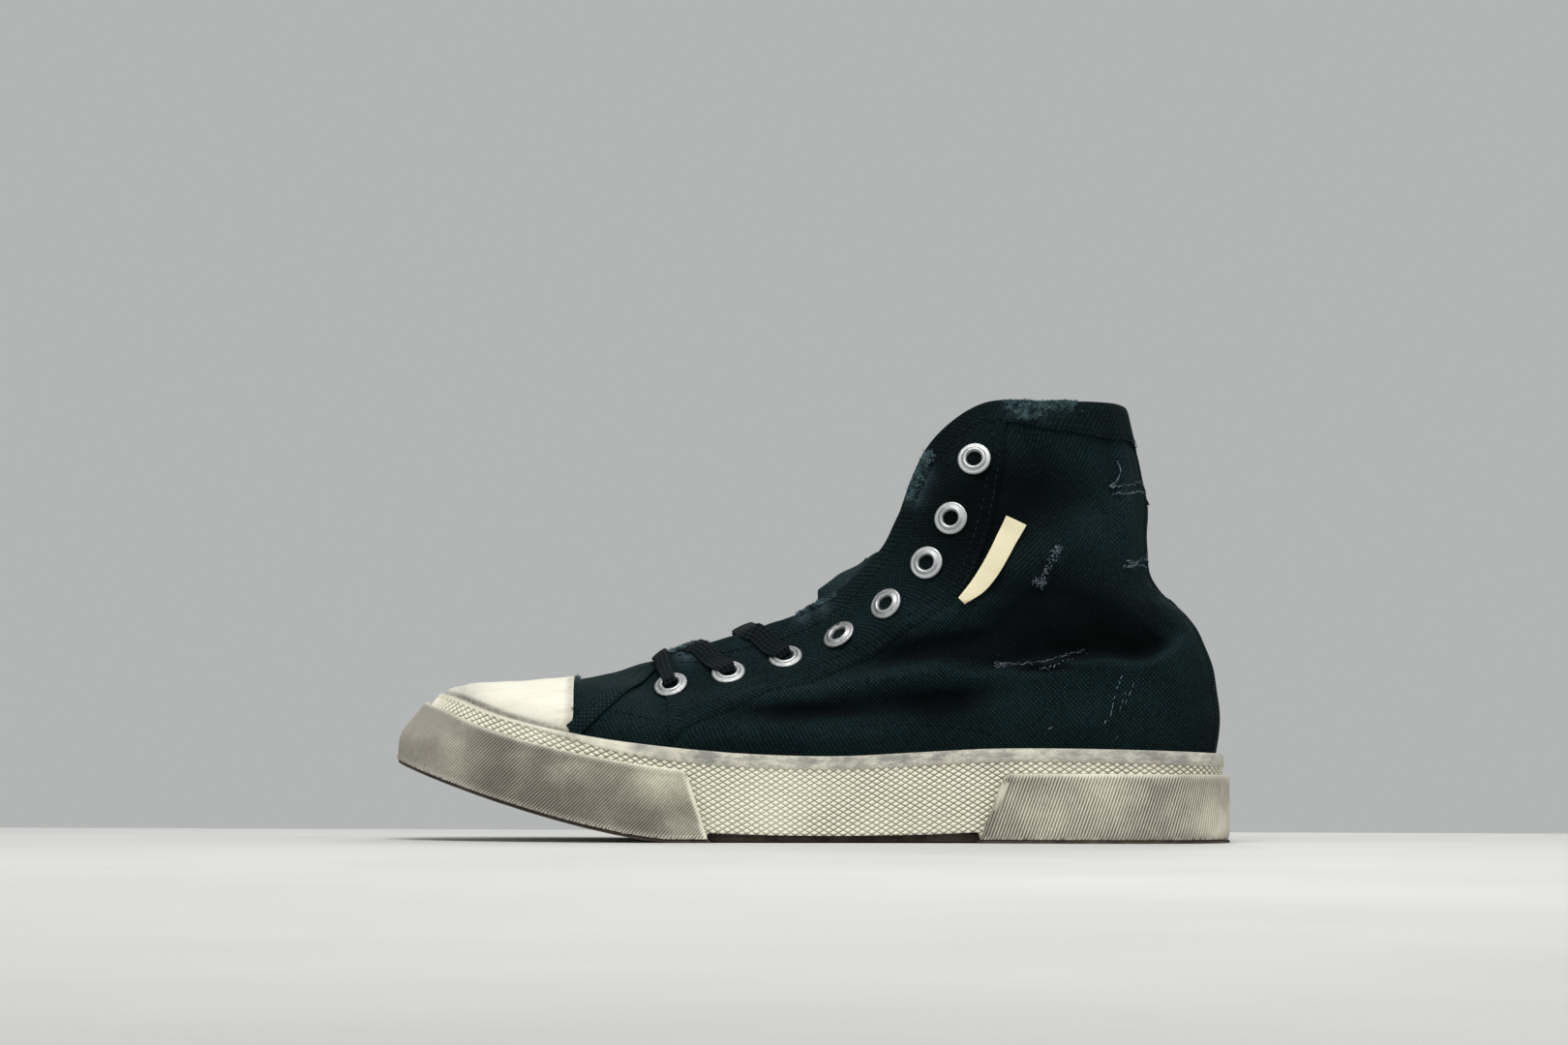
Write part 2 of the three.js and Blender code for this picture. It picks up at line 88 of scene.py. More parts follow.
class Shade:                                            # a socket that does its own maths
    def __init__(self, finish, socket):
        self.finish = finish
        self.socket = socket

    def math(self, operation, *others):
        node = self.finish.tree.nodes.new("ShaderNodeMath")
        node.operation = operation
        for slot, value in zip(node.inputs, (self,) + others):
            self.finish.feed(slot, value)
        return Shade(self.finish, node.outputs[0])

    def flipped(self, operation, other):
        node = self.finish.tree.nodes.new("ShaderNodeMath")
        node.operation = operation
        self.finish.feed(node.inputs[0], other)
        self.finish.feed(node.inputs[1], self)
        return Shade(self.finish, node.outputs[0])

    def __add__(self, other):
        return self.math("ADD", other)

    def __radd__(self, other):
        return self.flipped("ADD", other)

    def __sub__(self, other):
        return self.math("SUBTRACT", other)

    def __rsub__(self, other):
        return self.flipped("SUBTRACT", other)

    def __mul__(self, other):
        return self.math("MULTIPLY", other)

    def __rmul__(self, other):
        return self.flipped("MULTIPLY", other)

    def __truediv__(self, other):
        return self.math("DIVIDE", other)

    def __pow__(self, other):
        return self.math("POWER", other)


class Finish:                                           # one material and the nodes that make it
    def __init__(self, name, roughness=0.8, metallic=0.0, specular=0.5, sheen=0.0, sheenTint=(1, 1, 1)):
        self.material = bpy.data.materials.new(name)
        self.material.use_nodes = True
        self.tree = self.material.node_tree
        self.shader = self.tree.nodes["Principled BSDF"]
        self.shader.inputs["Roughness"].default_value = roughness
        self.shader.inputs["Metallic"].default_value = metallic
        self.shader.inputs["Specular IOR Level"].default_value = specular
        self.shader.inputs["Sheen Weight"].default_value = sheen
        self.shader.inputs["Sheen Tint"].default_value = (*sheenTint, 1)
        self.shader.inputs["Sheen Roughness"].default_value = 0.45

    def feed(self, socket, value):
        if isinstance(value, Shade):
            self.tree.links.new(value.socket, socket)
        elif isinstance(value, (tuple, list)) and socket.type == "RGBA" and len(value) == 3:
            socket.default_value = (*value, 1)
        else:
            socket.default_value = value

    def node(self, kind, settings=None, out=0, **values):
        node = self.tree.nodes.new("ShaderNode" + kind)
        for name, value in (settings or {}).items():
            if name == "stops":
                self.setStops(node.color_ramp, value)
            else:
                setattr(node, name, value)
        for name, value in values.items():
            key = int(name[1:]) if name[0] == "i" and name[1:].isdigit() else name
            self.feed(node.inputs[key], value)
        return Shade(self, node.outputs[out])

    def setStops(self, ramp, stops):
        while len(ramp.elements) < len(stops):
            ramp.elements.new(1.0)
        for element, (place, tone) in zip(ramp.elements, stops):
            element.position = place
            element.color = (*tone, 1) if isinstance(tone, tuple) else (tone, tone, tone, 1)

    def place(self):
        return self.node("TexCoord", out="Object")

    def uv(self):
        return self.node("UVMap")

    def noise(self, scale, detail=3.0, rough=0.55, at=None, stretch=None):
        at = at or self.place()
        if stretch:
            at = self.node("Mapping", i0=at, i3=stretch)
        return self.node("TexNoise", Vector=at, Scale=scale, Detail=detail, Roughness=rough)

    def ramp(self, value, *stops):
        return self.node("ValToRGB", {"stops": stops}, Fac=value)

    def blend(self, share, first, second, how="MIX"):
        settings = {"data_type": "RGBA", "blend_type": how, "clamp_factor": True}
        return self.node("Mix", settings, out=2, i0=share, i6=first, i7=second)

    def mask(self, name):
        return self.node("Attribute", {"attribute_name": name}, out="Fac")

    def axes(self, vector):
        node = self.tree.nodes.new("ShaderNodeSeparateXYZ")
        self.feed(node.inputs[0], vector)
        return [Shade(self, socket) for socket in node.outputs]

    def colour(self, value):
        self.feed(self.shader.inputs["Base Color"], value)

    def rough(self, value):
        self.feed(self.shader.inputs["Roughness"], value)

    def relief(self, height, depth, strength=1.0):
        bump = self.node("Bump", Strength=strength, Distance=depth, Height=height)
        self.feed(self.shader.inputs["Normal"], bump)


def makeFloor():
    deselectAll()
    spot = Vector((0, studio["behind"] - studio["depth"] / 2, 0)) * mm
    bpy.ops.mesh.primitive_plane_add(size=1, location=spot)
    sheet = bpy.context.object
    sheet.name = "floor"
    sheet.scale = (studio["width"] * mm, studio["depth"] * mm, 1)
    bpy.ops.object.transform_apply(location=True, rotation=True, scale=True)
    surface = Finish("floorFinish", roughness=0.75, specular=0.3)
    cloud = surface.ramp(surface.noise(4.0, 5.0, 0.6), (0.35, 0.0), (0.68, 1.0))
    dark = tuple(0.94 * k for k in studio["tone"])
    light = tuple(1.05 * k for k in studio["tone"])
    surface.colour(surface.blend(cloud, dark, light))
    surface.relief(surface.noise(90.0, 4.0, 0.7), 0.0012, 0.35)
    sheet.data.materials.append(surface.material)


def makeAir():
    world = bpy.data.worlds.new("air")
    bpy.context.scene.world = world
    world.use_nodes = True
    world.node_tree.nodes["Background"].inputs[0].default_value = (*studio["air"], 1)
    world.node_tree.nodes["Background"].inputs[1].default_value = studio["airStrength"]


makeCamera()
for lamp in lamps:
    makeLamp(*lamp)
makeFloor()
makeAir()
bpy.context.scene.view_settings.view_transform = "Standard"
print("camera and studio")


# The last: the same stations and sections as the frame's own pieces, in millimetres.
sole = {
    "cupFace": 2.3, "upperFace": 5.6, "tipX": -151, "springStart": -50,
    "springHeight": 28.1, "springPower": 1.4, "leanHeight": 14.7, "leanSlope": 0.85, "leanStations": 4,
    "leanSoft": 2.2, "heelRise": 7, "floorHeight": 7.5, "lip": 1.3,
    "arch": {"from": -37, "to": 58.5, "middle": 6, "half": 50, "rise": 2.5, "bow": 1.2},
}
toeSection = [(0, 0), (.11, .3), (.24, .53), (.37, .71), (.5, .84), (.63, .92), (.76, .97), (.88, 1), (1, 1)]
vampSection = [
    (0, 0), (.01, .25), (.05, .48), (.12, .67), (.24, .82), (.41, .92), (.6, .975), (.8, 1), (1, 1)]
throatSection = [
    (0, 0), (0, .15), (.05, .3), (.15, .43), (.29, .54), (.46, .65), (.64, .8), (.82, .94), (1, 1)]
instepSection = [
    (0, 0), (-.03, .12), (-.03, .25), (.03, .38), (.15, .49), (.31, .59), (.5, .68), (.73, .8), (1, 1)]
ankleFrontSection = [
    (0, 0), (-.07, .12), (-.09, .25), (-.06, .38), (.02, .5), (.14, .62), (.32, .74), (.6, .88), (1, 1)]
ankleSection = [
    (0, 0), (-.08, .1), (-.12, .22), (-.1, .34), (-.02, .47), (.08, .6), (.2, .72), (.45, .87), (1, 1)]
collarSection = [
    (0, 0), (-.07, .1), (-.1, .22), (-.04, .34), (.08, .46), (.2, .58), (.34, .7), (.58, .86), (1, 1)]
quarterSection = [
    (0, 0), (-.03, .1), (0, .22), (.12, .33), (.35, .43), (.58, .53), (.7, .66), (.82, .83), (1, 1)]
backSection = [
    (0, 0), (-.05, .1), (0, .21), (.1, .31), (.3, .4), (.63, .47), (.77, .56), (.79, .77), (1, 1)]
stations = [
    # x, outer y, inner y, wall top, edge x, edge z, half gap, section
    (-151, 6, 6, 52.6, -125, 54.6, 10.5, toeSection),
    (-146, -14, 22, 52.2, -121.5, 55, 10.5, toeSection),
    (-132, -32, 36, 49.6, -114, 55.6, 10.5, vampSection),
    (-110, -44.5, 47, 43.2, -102, 56.2, 10.5, vampSection),
    (-80, -51.5, 52.5, 36.8, -82, 58.6, 10.5, vampSection),
    (-50, -53, 50, 32.9, -57, 65.5, 10.5, throatSection),
    (-20, -49, 42, 30.6, -27, 73.2, 11.5, instepSection),
    (10, -44.5, 34.5, 30.1, 3, 85.4, 12.5, instepSection),
    (38, -40.5, 32.5, 31.6, 26, 106.5, 16, ankleFrontSection),
    (62, -39, 33.5, 32.9, 41, 141, 17.5, ankleSection),
    (86, -38.5, 35, 33.1, 61, 157, 20, collarSection),
    (110, -36.5, 35.5, 32.8, 84, 156.6, 29, quarterSection),
    (132, -30, 30, 32.3, 101.5, 157, 24, backSection),
    (146, -17, 17, 31.9, 110.8, 156.8, 13, backSection),
    (151, 0, 0, 31.7, 114, 153.5, 0, backSection),
]
lastStation = len(stations) - 1
outer, inner = -1, 1


def mirrored(values, other=None):                       # three more values past each end
    other = values if other is None else other
    return np.concatenate([other[3:0:-1], values, other[-2:-5:-1]])


columns = [np.array([row[k] for row in stations], float) for k in range(7)]
lastTable = {
    "x": mirrored(columns[0]),
    outer: mirrored(columns[1], columns[2]), inner: mirrored(columns[2], columns[1]),
    "top": mirrored(columns[3]), "edgeX": mirrored(columns[4]), "edgeZ": mirrored(columns[5]),
    "gap": mirrored(columns[6]),
}
sectionTable = np.array([row[7] for row in stations], float)
sectionTable = mirrored(sectionTable)
firstStep = sectionTable[:, :1] - sectionTable[:, 1:2]
finalStep = sectionTable[:, -1:] - sectionTable[:, -2:-1]
sectionTable = np.concatenate([
    sectionTable[:, :1] + 2 * firstStep, sectionTable[:, :1] + firstStep, sectionTable,
    sectionTable[:, -1:] + finalStep, sectionTable[:, -1:] + 2 * finalStep,
    sectionTable[:, -1:] + 3 * finalStep], axis=1)


def unit(vectors):
    return vectors / np.linalg.norm(vectors, axis=-1, keepdims=True)


def runLengths(points):                                 # how far along a line each of its points is
    return np.concatenate([[0], np.cumsum(np.linalg.norm(np.diff(points, axis=0), axis=1))])


def splineWeights(f):
    return [0.5 * f * (-1 + f * (2 - f)), 1 + 0.5 * f * f * (3 * f - 5),
            0.5 * f * (1 + f * (4 - 3 * f)), 0.5 * f * f * (f - 1)]


def along(name, u):
    u = np.asarray(u, float)
    i = np.floor(u).astype(int)
    table = lastTable[name]
    return sum(w * table[i + k + 2] for k, w in enumerate(splineWeights(u - i)))


def outline(side, u):
    return along("x", u), along(side, u)


def inward(side, u):                                    # the way into the shoe, level with the floor
    step = 0.01
    ax, ay = outline(side, u + step)
    bx, by = outline(side, u - step)
    dx, dy = ax - bx, ay - by
    size = np.hypot(dx, dy)
    return side * dy / size, -side * dx / size


def springZ(x):
    share = np.clip((sole["springStart"] - x) / (sole["springStart"] - sole["tipX"]), 0, None)
    return sole["springHeight"] * share ** sole["springPower"]


def ease(x, low, high):
    t = np.clip((x - low) / (high - low), 0, 1)
    return t * t * (3 - 2 * t)


def wallPoint(side, u, z, inset):
    u = np.asarray(u, float)
    fade = np.clip(1 - (u / sole["leanStations"]) ** 2, 0, 1) ** 2
    past = z - along("top", u) + sole["leanHeight"]
    lean = sole["leanSlope"] * fade * 0.5 * (past + np.sqrt(past ** 2 + sole["leanSoft"] ** 2))
    x, y = outline(side, u)
    nx, ny = inward(side, u)
    return np.stack(np.broadcast_arrays(x + nx * (inset + lean), y + ny * (inset + lean), z + 0 * x), axis=-1)


def halfGap(u):
    q = np.clip((u - 5) / 0.5, 0, 1)
    return along("gap", u) * np.sqrt(q * (2 - q)) * (u < lastStation - 1e-6)


def sectionShare(u, v):
    i = np.floor(u).astype(int)
    t = v * 8
    j = np.floor(t).astype(int)
    total = 0
    for a, wa in enumerate(splineWeights(u - i)):
        for b, wb in enumerate(splineWeights(t - j)):
            total = total + (wa * wb)[..., None] * sectionTable[i + a + 2, j + b + 1]
    return total


def upperPoint(side, u, v):                             # v is 0 at the sole wall and 1 at the top edge
    u, v = np.broadcast_arrays(np.asarray(u, float), np.asarray(v, float))
    seam = along("top", u) + 0.5
    low = wallPoint(side, u, seam + np.minimum(v, 0) * 20, sole["upperFace"])
    edgeX = along("edgeX", u)
    centre = 6 * np.clip(-20 - edgeX, 0, 131) / 131
    top = np.stack([edgeX, centre + side * halfGap(u), along("edgeZ", u)], axis=-1)
    share = sectionShare(u, np.clip(v, 0, 1))
    reach = np.stack([share[..., 0], share[..., 0], share[..., 1]], axis=-1)
    return low + (top - low) * reach


def upperNormal(side, u, v):
    step = 0.02
    alongU = upperPoint(side, u + step, v) - upperPoint(side, u - step, v)
    alongV = upperPoint(side, u, np.minimum(v + step, 1)) - upperPoint(side, u, np.maximum(v - step, -1))
    return unit(-side * np.cross(alongU, alongV))


def spotsAt(side, places):                              # where on one side of the upper each (x, z) is seen
    target = np.array(places, float)
    u = np.full(len(target), 8.0)
    v = np.full(len(target), 0.6)

    def miss(a, b):
        point = upperPoint(side, a, b)
        return np.hypot(point[:, 0] - target[:, 0], point[:, 2] - target[:, 1])

    best = miss(u, v)
    reach = 3.0
    while reach > 1e-4:
        centreU, centreV = u.copy(), v.copy()
        for du in (-reach, 0, reach):
            for dv in (-reach / 7, 0, reach / 7):
                tryU = np.clip(centreU + du, 0, 13.98)
                tryV = np.clip(centreV + dv, 0, 1)
                score = miss(tryU, tryV)
                better = score < best
                u = np.where(better, tryU, u)
                v = np.where(better, tryV, v)
                best = np.where(better, score, best)
        reach *= 0.7
    return u, v


def smoothPath(points, count):                          # a smooth curve through given points
    points = np.array(points, float)
    padded = np.concatenate([[2 * points[0] - points[1]], points, [2 * points[-1] - points[-2]]])
    t = np.linspace(0, len(points) - 1, count)
    i = np.minimum(np.floor(t).astype(int), len(points) - 2)
    return sum(w[:, None] * padded[i + k] for k, w in enumerate(splineWeights(t - i)))


# Folds of the slack canvas: a line on one side, how far it stands out, and how wide it is.
folds = [
    (outer, [(-34, 49.5), (-10, 51.8), (14, 56), (38, 60), (60, 62)], 2.0, 3.6),
    (outer, [(-28, 45.2), (0, 46.8), (20, 49.2), (46, 50.5), (66, 53)], -2.6, 3.8),
    (outer, [(-36, 38), (0, 38), (40, 39)], 0.9, 4.5),
    (outer, [(18, 62.5), (34, 67), (50, 70.5), (66, 73)], -2.4, 4.2),
    (outer, [(34, 75), (46, 80), (56, 84.5), (76, 86)], 1.6, 4.0),
    (outer, [(58, 76), (74, 86), (92, 94)], -1.8, 8.0),
    (outer, [(64, 92), (84, 103), (108, 112)], 2.0, 10.0),
    (outer, [(44, 122), (58, 139), (76, 147), (104, 149)], 1.9, 9.0),
    (outer, [(70, 126), (90, 122), (104, 128)], -1.7, 10.0),
    (outer, [(106, 152), (111.5, 138), (113, 118), (112, 104)], 1.0, 3.2),
    (outer, [(103, 150), (107, 136), (108, 116)], -0.8, 3.5),
    (outer, [(72, 61.0), (82, 61.3), (92, 63.2)], -1.5, 1.5),
    (outer, [(-70, 44), (-66, 54), (-64, 61)], 0.5, 5.0),
    (outer, [(-42, 52), (-38, 60), (-36, 66)], -0.6, 4.0),
    (outer, [(119, 92), (127, 84), (133, 79)], 0.8, 1.6),
    (outer, [(117, 88), (126, 79), (134, 75)], -0.7, 1.6),
    (outer, [(113, 84), (122, 76), (130, 71)], 0.6, 1.5),
    (outer, [(120, 98), (129, 88), (137, 81)], 0.6, 2.0),
    (inner, [(-14, 47), (14, 50), (46, 55), (70, 60)], -1.6, 5.0),
    (inner, [(-20, 40), (20, 42), (60, 46)], 1.0, 5.0),
    (inner, [(14, 62), (36, 70), (56, 76)], -1.3, 5.0),
    (inner, [(60, 80), (84, 84), (106, 90)], -1.6, 8.0),
    (inner, [(66, 94), (88, 101), (110, 108)], 1.6, 9.0),
    (inner, [(46, 122), (62, 138), (84, 146), (104, 148)], 1.4, 9.0),
    (inner, [(-70, 46), (-66, 54), (-62, 60)], 0.5, 5.0),
]
# Ledges: the cloth hangs over a line, hollow above it and full below.
ledges = [
    # side, line, hollow depth and width above, fullness and width below
    (outer,
     [(40, 59.5), (58, 60.5), (76, 64), (92, 65), (104, 66), (114, 65), (121, 66.5), (128.5, 71.5),
      (136, 79)], 5.2, 11.0, 2.2, 6.0),
    (inner, [(48, 58), (70, 61), (92, 66), (112, 67), (127, 72), (136, 80)], 3.6, 11.0, 1.2, 6.5),
]
edgeSoft = 1.5                                          # half the width of a ledge's lip


def foldLine(side, places, count=13):
    u, v = spotsAt(side, places)
    return smoothPath(upperPoint(side, u, v), count)


foldLines = [(foldLine(side, places), height, width) for side, places, height, width in folds]
ledgeLines = [(foldLine(side, places, 26), *sizes) for side, places, *sizes in ledges]


def nearestOn(points, line):                            # distance, place along the line, and how far above it
    nearest = np.full(points.shape[:-1], 1e9)
    share = np.zeros(points.shape[:-1])
    above = np.zeros(points.shape[:-1])
    for k in range(len(line) - 1):
        leg = line[k + 1] - line[k]
        t = np.clip(((points - line[k]) @ leg) / (leg @ leg), 0, 1)
        gap = points - line[k] - t[..., None] * leg
        away = np.linalg.norm(gap, axis=-1)
        closer = away < nearest
        nearest = np.where(closer, away, nearest)
        share = np.where(closer, (k + t) / (len(line) - 1), share)
        up = (gap[..., 2] * leg[0] - gap[..., 0] * leg[2]) / math.hypot(leg[0], leg[2])
        above = np.where(closer, up, above)
    return nearest, share, above


def around(points, line, reach):                        # which points lie in the line's own neighbourhood
    low, high = line.min(axis=0) - reach, line.max(axis=0) + reach
    return np.all((points > low) & (points < high), axis=-1)


def foldAt(points):                                     # how far the folds push each point out
    total = np.zeros(points.shape[:-1])
    for line, height, width in foldLines:
        here = around(points, line, 2.8 * width)
        nearest, share, above = nearestOn(points[here], line)
        ends = np.clip(np.minimum(share, 1 - share) * 5, 0, 1)
        total[here] += height * (0.25 + 0.75 * ends) * np.exp(-(nearest / width) ** 2)
    for line, depth, hollow, full, belly in ledgeLines:
        here = around(points, line, 2.8 * hollow)
        nearest, share, above = nearestOn(points[here], line)
        ends = ease(share, 0, 0.35) * ease(1 - share, 0, 0.24)
        over = 0.5 + 0.5 * np.tanh(above / edgeSoft)
        inwards = depth * np.exp(-(nearest / hollow) ** 2)
        outwards = full * np.exp(-(nearest / belly) ** 2)
        total[here] += ends * (outwards * (1 - over) - inwards * over)
    return total


def ripple(points):                                     # small uneven waves of worn cloth
    x, y, z = points[..., 0], points[..., 1], points[..., 2]
    waves = np.sin(0.31 * x + 0.22 * z + 1.3 * np.sin(0.11 * z + 0.05 * y))
    waves = waves + 0.7 * np.sin(0.17 * x - 0.36 * z + 1.1 * np.sin(0.13 * x))
    return 0.16 * waves


def clothPoint(side, u, v, lift=0.0):                   # the worn surface, lift millimetres above it
    point = upperPoint(side, u, v)
    normal = upperNormal(side, u, v)
    rise = foldAt(point) * ease(v, -0.02, 0.12) + ripple(point) * ease(v, 0.0, 0.1) * ease(u, 3.9, 4.6)
    return point + normal * (rise + lift)[..., None], normal


# Mesh making. A grid primitive is formed to the rows of points that a piece's own formula gives.
def formedGrid(name, points, uv, closeRound=False):
    rows, across = points.shape[:2]
    deselectAll()
    bpy.ops.mesh.primitive_grid_add(x_subdivisions=across - 1, y_subdivisions=rows - 1, size=1)
    piece = bpy.context.object
    piece.name = name
    piece.data.name = name
    piece.data.vertices.foreach_set("co", (points.reshape(-1, 3) * mm).ravel())
    corners = np.empty(len(piece.data.loops), int)
    piece.data.loops.foreach_get("vertex_index", corners)
    piece.data.uv_layers[0].data.foreach_set("uv", (uv.reshape(-1, 2)[corners] * mm).ravel())
    if closeRound:
        mergeDoubles(piece)
    piece.data.update()
    return piece


def mergeDoubles(piece, distance=0.00002):
    chooseOnly(piece)
    bpy.ops.object.mode_set(mode="EDIT")
    bpy.ops.mesh.select_all(action="SELECT")
    bpy.ops.mesh.remove_doubles(threshold=distance)
    bpy.ops.mesh.normals_make_consistent(inside=False)
    bpy.ops.object.mode_set(mode="OBJECT")


def joined(name, pieces):
    deselectAll()
    for piece in pieces:
        piece.select_set(True)
    bpy.context.view_layer.objects.active = pieces[0]
    bpy.ops.object.join()
    pieces[0].name = name
    pieces[0].data.name = name
    return pieces[0]


def applied(piece, kind, **settings):
    chooseOnly(piece)
    modifier = piece.modifiers.new(kind.title(), kind)
    for key, value in settings.items():
        setattr(modifier, key, value)
    bpy.ops.object.modifier_apply(modifier=modifier.name)


def trimmed(piece, place, facing):                      # cuts away what lies past a plane and closes the cut
    chooseOnly(piece)
    bpy.ops.object.mode_set(mode="EDIT")
    bpy.ops.mesh.select_all(action="SELECT")
    bpy.ops.mesh.bisect(plane_co=Vector(place) * mm, plane_no=facing, use_fill=True, clear_outer=True)
    bpy.ops.object.mode_set(mode="OBJECT")


def smooth(piece, angle):
    chooseOnly(piece)
    bpy.ops.object.shade_smooth_by_angle(angle=math.radians(angle))


def placesOf(piece):                                    # each vertex's place, in millimetres
    places = np.empty(len(piece.data.vertices) * 3)
    piece.data.vertices.foreach_get("co", places)
    return places.reshape(-1, 3) / mm


def addMask(piece, name, values):
    mask = piece.data.attributes.new(name, "FLOAT", "POINT")
    mask.data.foreach_set("value", np.asarray(values, float).ravel())


def paint(piece, name, rule):                           # a mask worked out from each vertex's place
    addMask(piece, name, rule(placesOf(piece)))


def turnUp(piece):                                      # makes a sheet's faces look up
    if sum((face.normal for face in piece.data.polygons), Vector()).z < 0:
        piece.data.flip_normals()


def finished(piece, finish, slot, *nodes):
    piece.data.materials.clear()
    piece.data.materials.append(finish.material)
    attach(piece, "root")
    if nodes:
        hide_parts(*nodes)


def meshPiece(name, places, faces):
    mesh = bpy.data.meshes.new(name)
    mesh.from_pydata(places.tolist(), [], faces)
    mesh.update()
    piece = bpy.data.objects.new(name, mesh)
    bpy.context.scene.collection.objects.link(piece)
    return piece


def copiesOf(name, model, frames):                      # one joined mesh of a small model at many places
    corners = np.array([vertex.co for vertex in model.data.vertices])
    faces = [tuple(face.vertices) for face in model.data.polygons]
    places, sheets = [], []
    for k, (spot, turn) in enumerate(frames):
        places.append(corners @ turn.T + spot * mm)
        sheets.extend(tuple(i + k * len(corners) for i in face) for face in faces)
    bpy.data.objects.remove(model)
    return meshPiece(name, np.concatenate(places), sheets)


def band(name, points, normals, widths, thickness, crown, rows):   # a closed flat band with soft edges
    points = np.asarray(points, float)
    across = unit(np.cross(np.gradient(points, axis=0), normals))
    profile = [(t, 0.5 * (1 - crown * t * t) * (1 - 0.35 * abs(t) ** 6)) for t in np.linspace(-1, 1, rows)]
    profile += [(t, -h) for t, h in reversed(profile)]
    profile.append(profile[0])
    widths = np.broadcast_to(widths, (len(points),))
    rings = [points + across * (a * widths / 2)[:, None] + normals * (b * thickness) for a, b in profile]
    grid = np.stack(rings, axis=1)
    acrossUv = np.array([a for a, b in profile])[None, :] * widths[:, None] / 2
    uv = np.stack([np.broadcast_to(runLengths(points)[:, None], acrossUv.shape), acrossUv], axis=-1)
    first, final = grid[:1].mean(axis=1, keepdims=True), grid[-1:].mean(axis=1, keepdims=True)
    ends = [np.broadcast_to(first, grid[:1].shape), grid, np.broadcast_to(final, grid[:1].shape)]
    uv = np.concatenate([uv[:1], uv, uv[-1:]])
    return formedGrid(name, np.concatenate(ends), uv, closeRound=True)


# Finishes.
weaves = {
    "blackCanvas": {
        "pitch": 0.84, "depth": 0.00030, "dark": (0.0011, 0.0028, 0.0032), "faded": (0.0062, 0.0160, 0.0178),
        "worn": (0.05, 0.085, 0.10), "wear": 0.8},
    "wovenTape": {
        "pitch": 0.95, "depth": 0.00036, "dark": (0.0013, 0.0030, 0.0035), "faded": (0.0074, 0.0172, 0.0190),
        "worn": (0.06, 0.10, 0.12), "wear": 0.9},
    "liningCloth": {
        "pitch": 0.9, "depth": 0.0002, "dark": (0.006, 0.009, 0.010), "faded": (0.018, 0.024, 0.026),
        "worn": None},
}


def wovenFinish(name):
    weave = weaves[name]
    faded = weave["faded"]
    cloth = Finish(name, roughness=0.92, specular=0.06, sheen=0.006, sheenTint=(0.3, 0.6, 0.7))
    across, up, _ = cloth.axes(cloth.uv())
    turn = math.pi / (weave["pitch"] * mm)
    warp = (across * turn).math("SINE")
    weft = (up * turn).math("SINE")
    over = warp * weft
    threads = (over * 0.5 + 0.5) * 0.7 + (warp.math("ABSOLUTE") + weft.math("ABSOLUTE")) * 0.25
    slub = cloth.noise(900.0, 2.0, 0.6)
    cloudy = cloth.ramp(cloth.noise(26.0, 5.0, 0.62), (0.35, 0.0), (0.75, 1.0))
    tone = cloth.blend(cloudy * 0.75, weave["dark"], faded)
    # Painted light and shade with some wear: where this mask is low the cloth is darkened nearly to black as
    # painted shade, where it is high it keeps its paler tone.
    lightAndWear = cloth.mask("fullness")
    tone = cloth.blend(lightAndWear, cloth.blend(0.88, tone, (0.0002, 0.0005, 0.0006)), tone)
    uneven = cloth.ramp(slub, (0.3, 0.15), (0.65, 1.0))
    # Painted highlights on the thread tops, brighter on the painted-lit ridges.
    tone = cloth.blend((threads ** 3.0) * uneven * (lightAndWear * 0.85 + 0.06), tone, tuple(3.0 * k for k in faded))
    lint = cloth.ramp(cloth.noise(1300.0, 1.0, 0.5), (0.71, 0.0), (0.78, 1.0))
    tone = cloth.blend(lint * cloth.noise(60.0, 2.0) * 0.22, tone, (0.07, 0.10, 0.11))
    if weave["worn"]:
        patchy = cloth.ramp(cloth.noise(700.0, 3.0, 0.7), (0.3, 0.0), (0.62, 1.0))
        tone = cloth.blend(cloth.mask("worn") * (patchy * 0.75 + 0.25) * weave["wear"], tone, weave["worn"])
    cloth.colour(tone)
    cloth.relief(threads + slub * 0.5, weave["depth"])
    return cloth


canvas = wovenFinish("blackCanvas")
tape = wovenFinish("wovenTape")
liningCloth = wovenFinish("liningCloth")


def braidFinish():
    braid = Finish("flatBraid", roughness=0.85, specular=0.08, sheen=0.006, sheenTint=(0.5, 0.65, 0.7))
    run, across, _ = braid.axes(braid.uv())
    plaitTurn = math.pi / (1.75 * mm)
    rise = ((run + across) * plaitTurn).math("SINE")
    fall = ((run - across) * plaitTurn).math("SINE")
    plait = (rise * fall) * 0.5 + 0.5
    strands = (across * (math.pi / (0.6 * mm))).math("SINE").math("ABSOLUTE")
    height = plait * 0.75 + strands * 0.25
    braid.colour(braid.blend(height ** 2.4, (0.0004, 0.0009, 0.0012), (0.0130, 0.0210, 0.0240)))
    braid.relief(height, 0.0007)
    return braid


def threadFinish(name, dark, pale):
    thread = Finish(name, roughness=0.85, specular=0.1)
    mixUp = thread.ramp(thread.noise(420.0, 2.0, 0.6), (0.35, 0.0), (0.65, 1.0))
    thread.colour(thread.blend(mixUp, dark, pale))
    thread.relief(thread.noise(2600.0, 1.0), 0.0001)
    return thread


stitchThread = threadFinish("stitchThread", (0.0014, 0.0032, 0.0038), (0.009, 0.017, 0.019))
fluffThread = threadFinish("frayedFluff", (0.014, 0.034, 0.042), (0.10, 0.170, 0.185))
tornThread = threadFinish("tornThread", (0.030, 0.045, 0.054), (0.19, 0.23, 0.26))

cream = (0.68, 0.640, 0.500)
palerCream = (0.80, 0.770, 0.635)
greyDirt = (0.25, 0.25, 0.245)
darkDirt = (0.075, 0.068, 0.060)


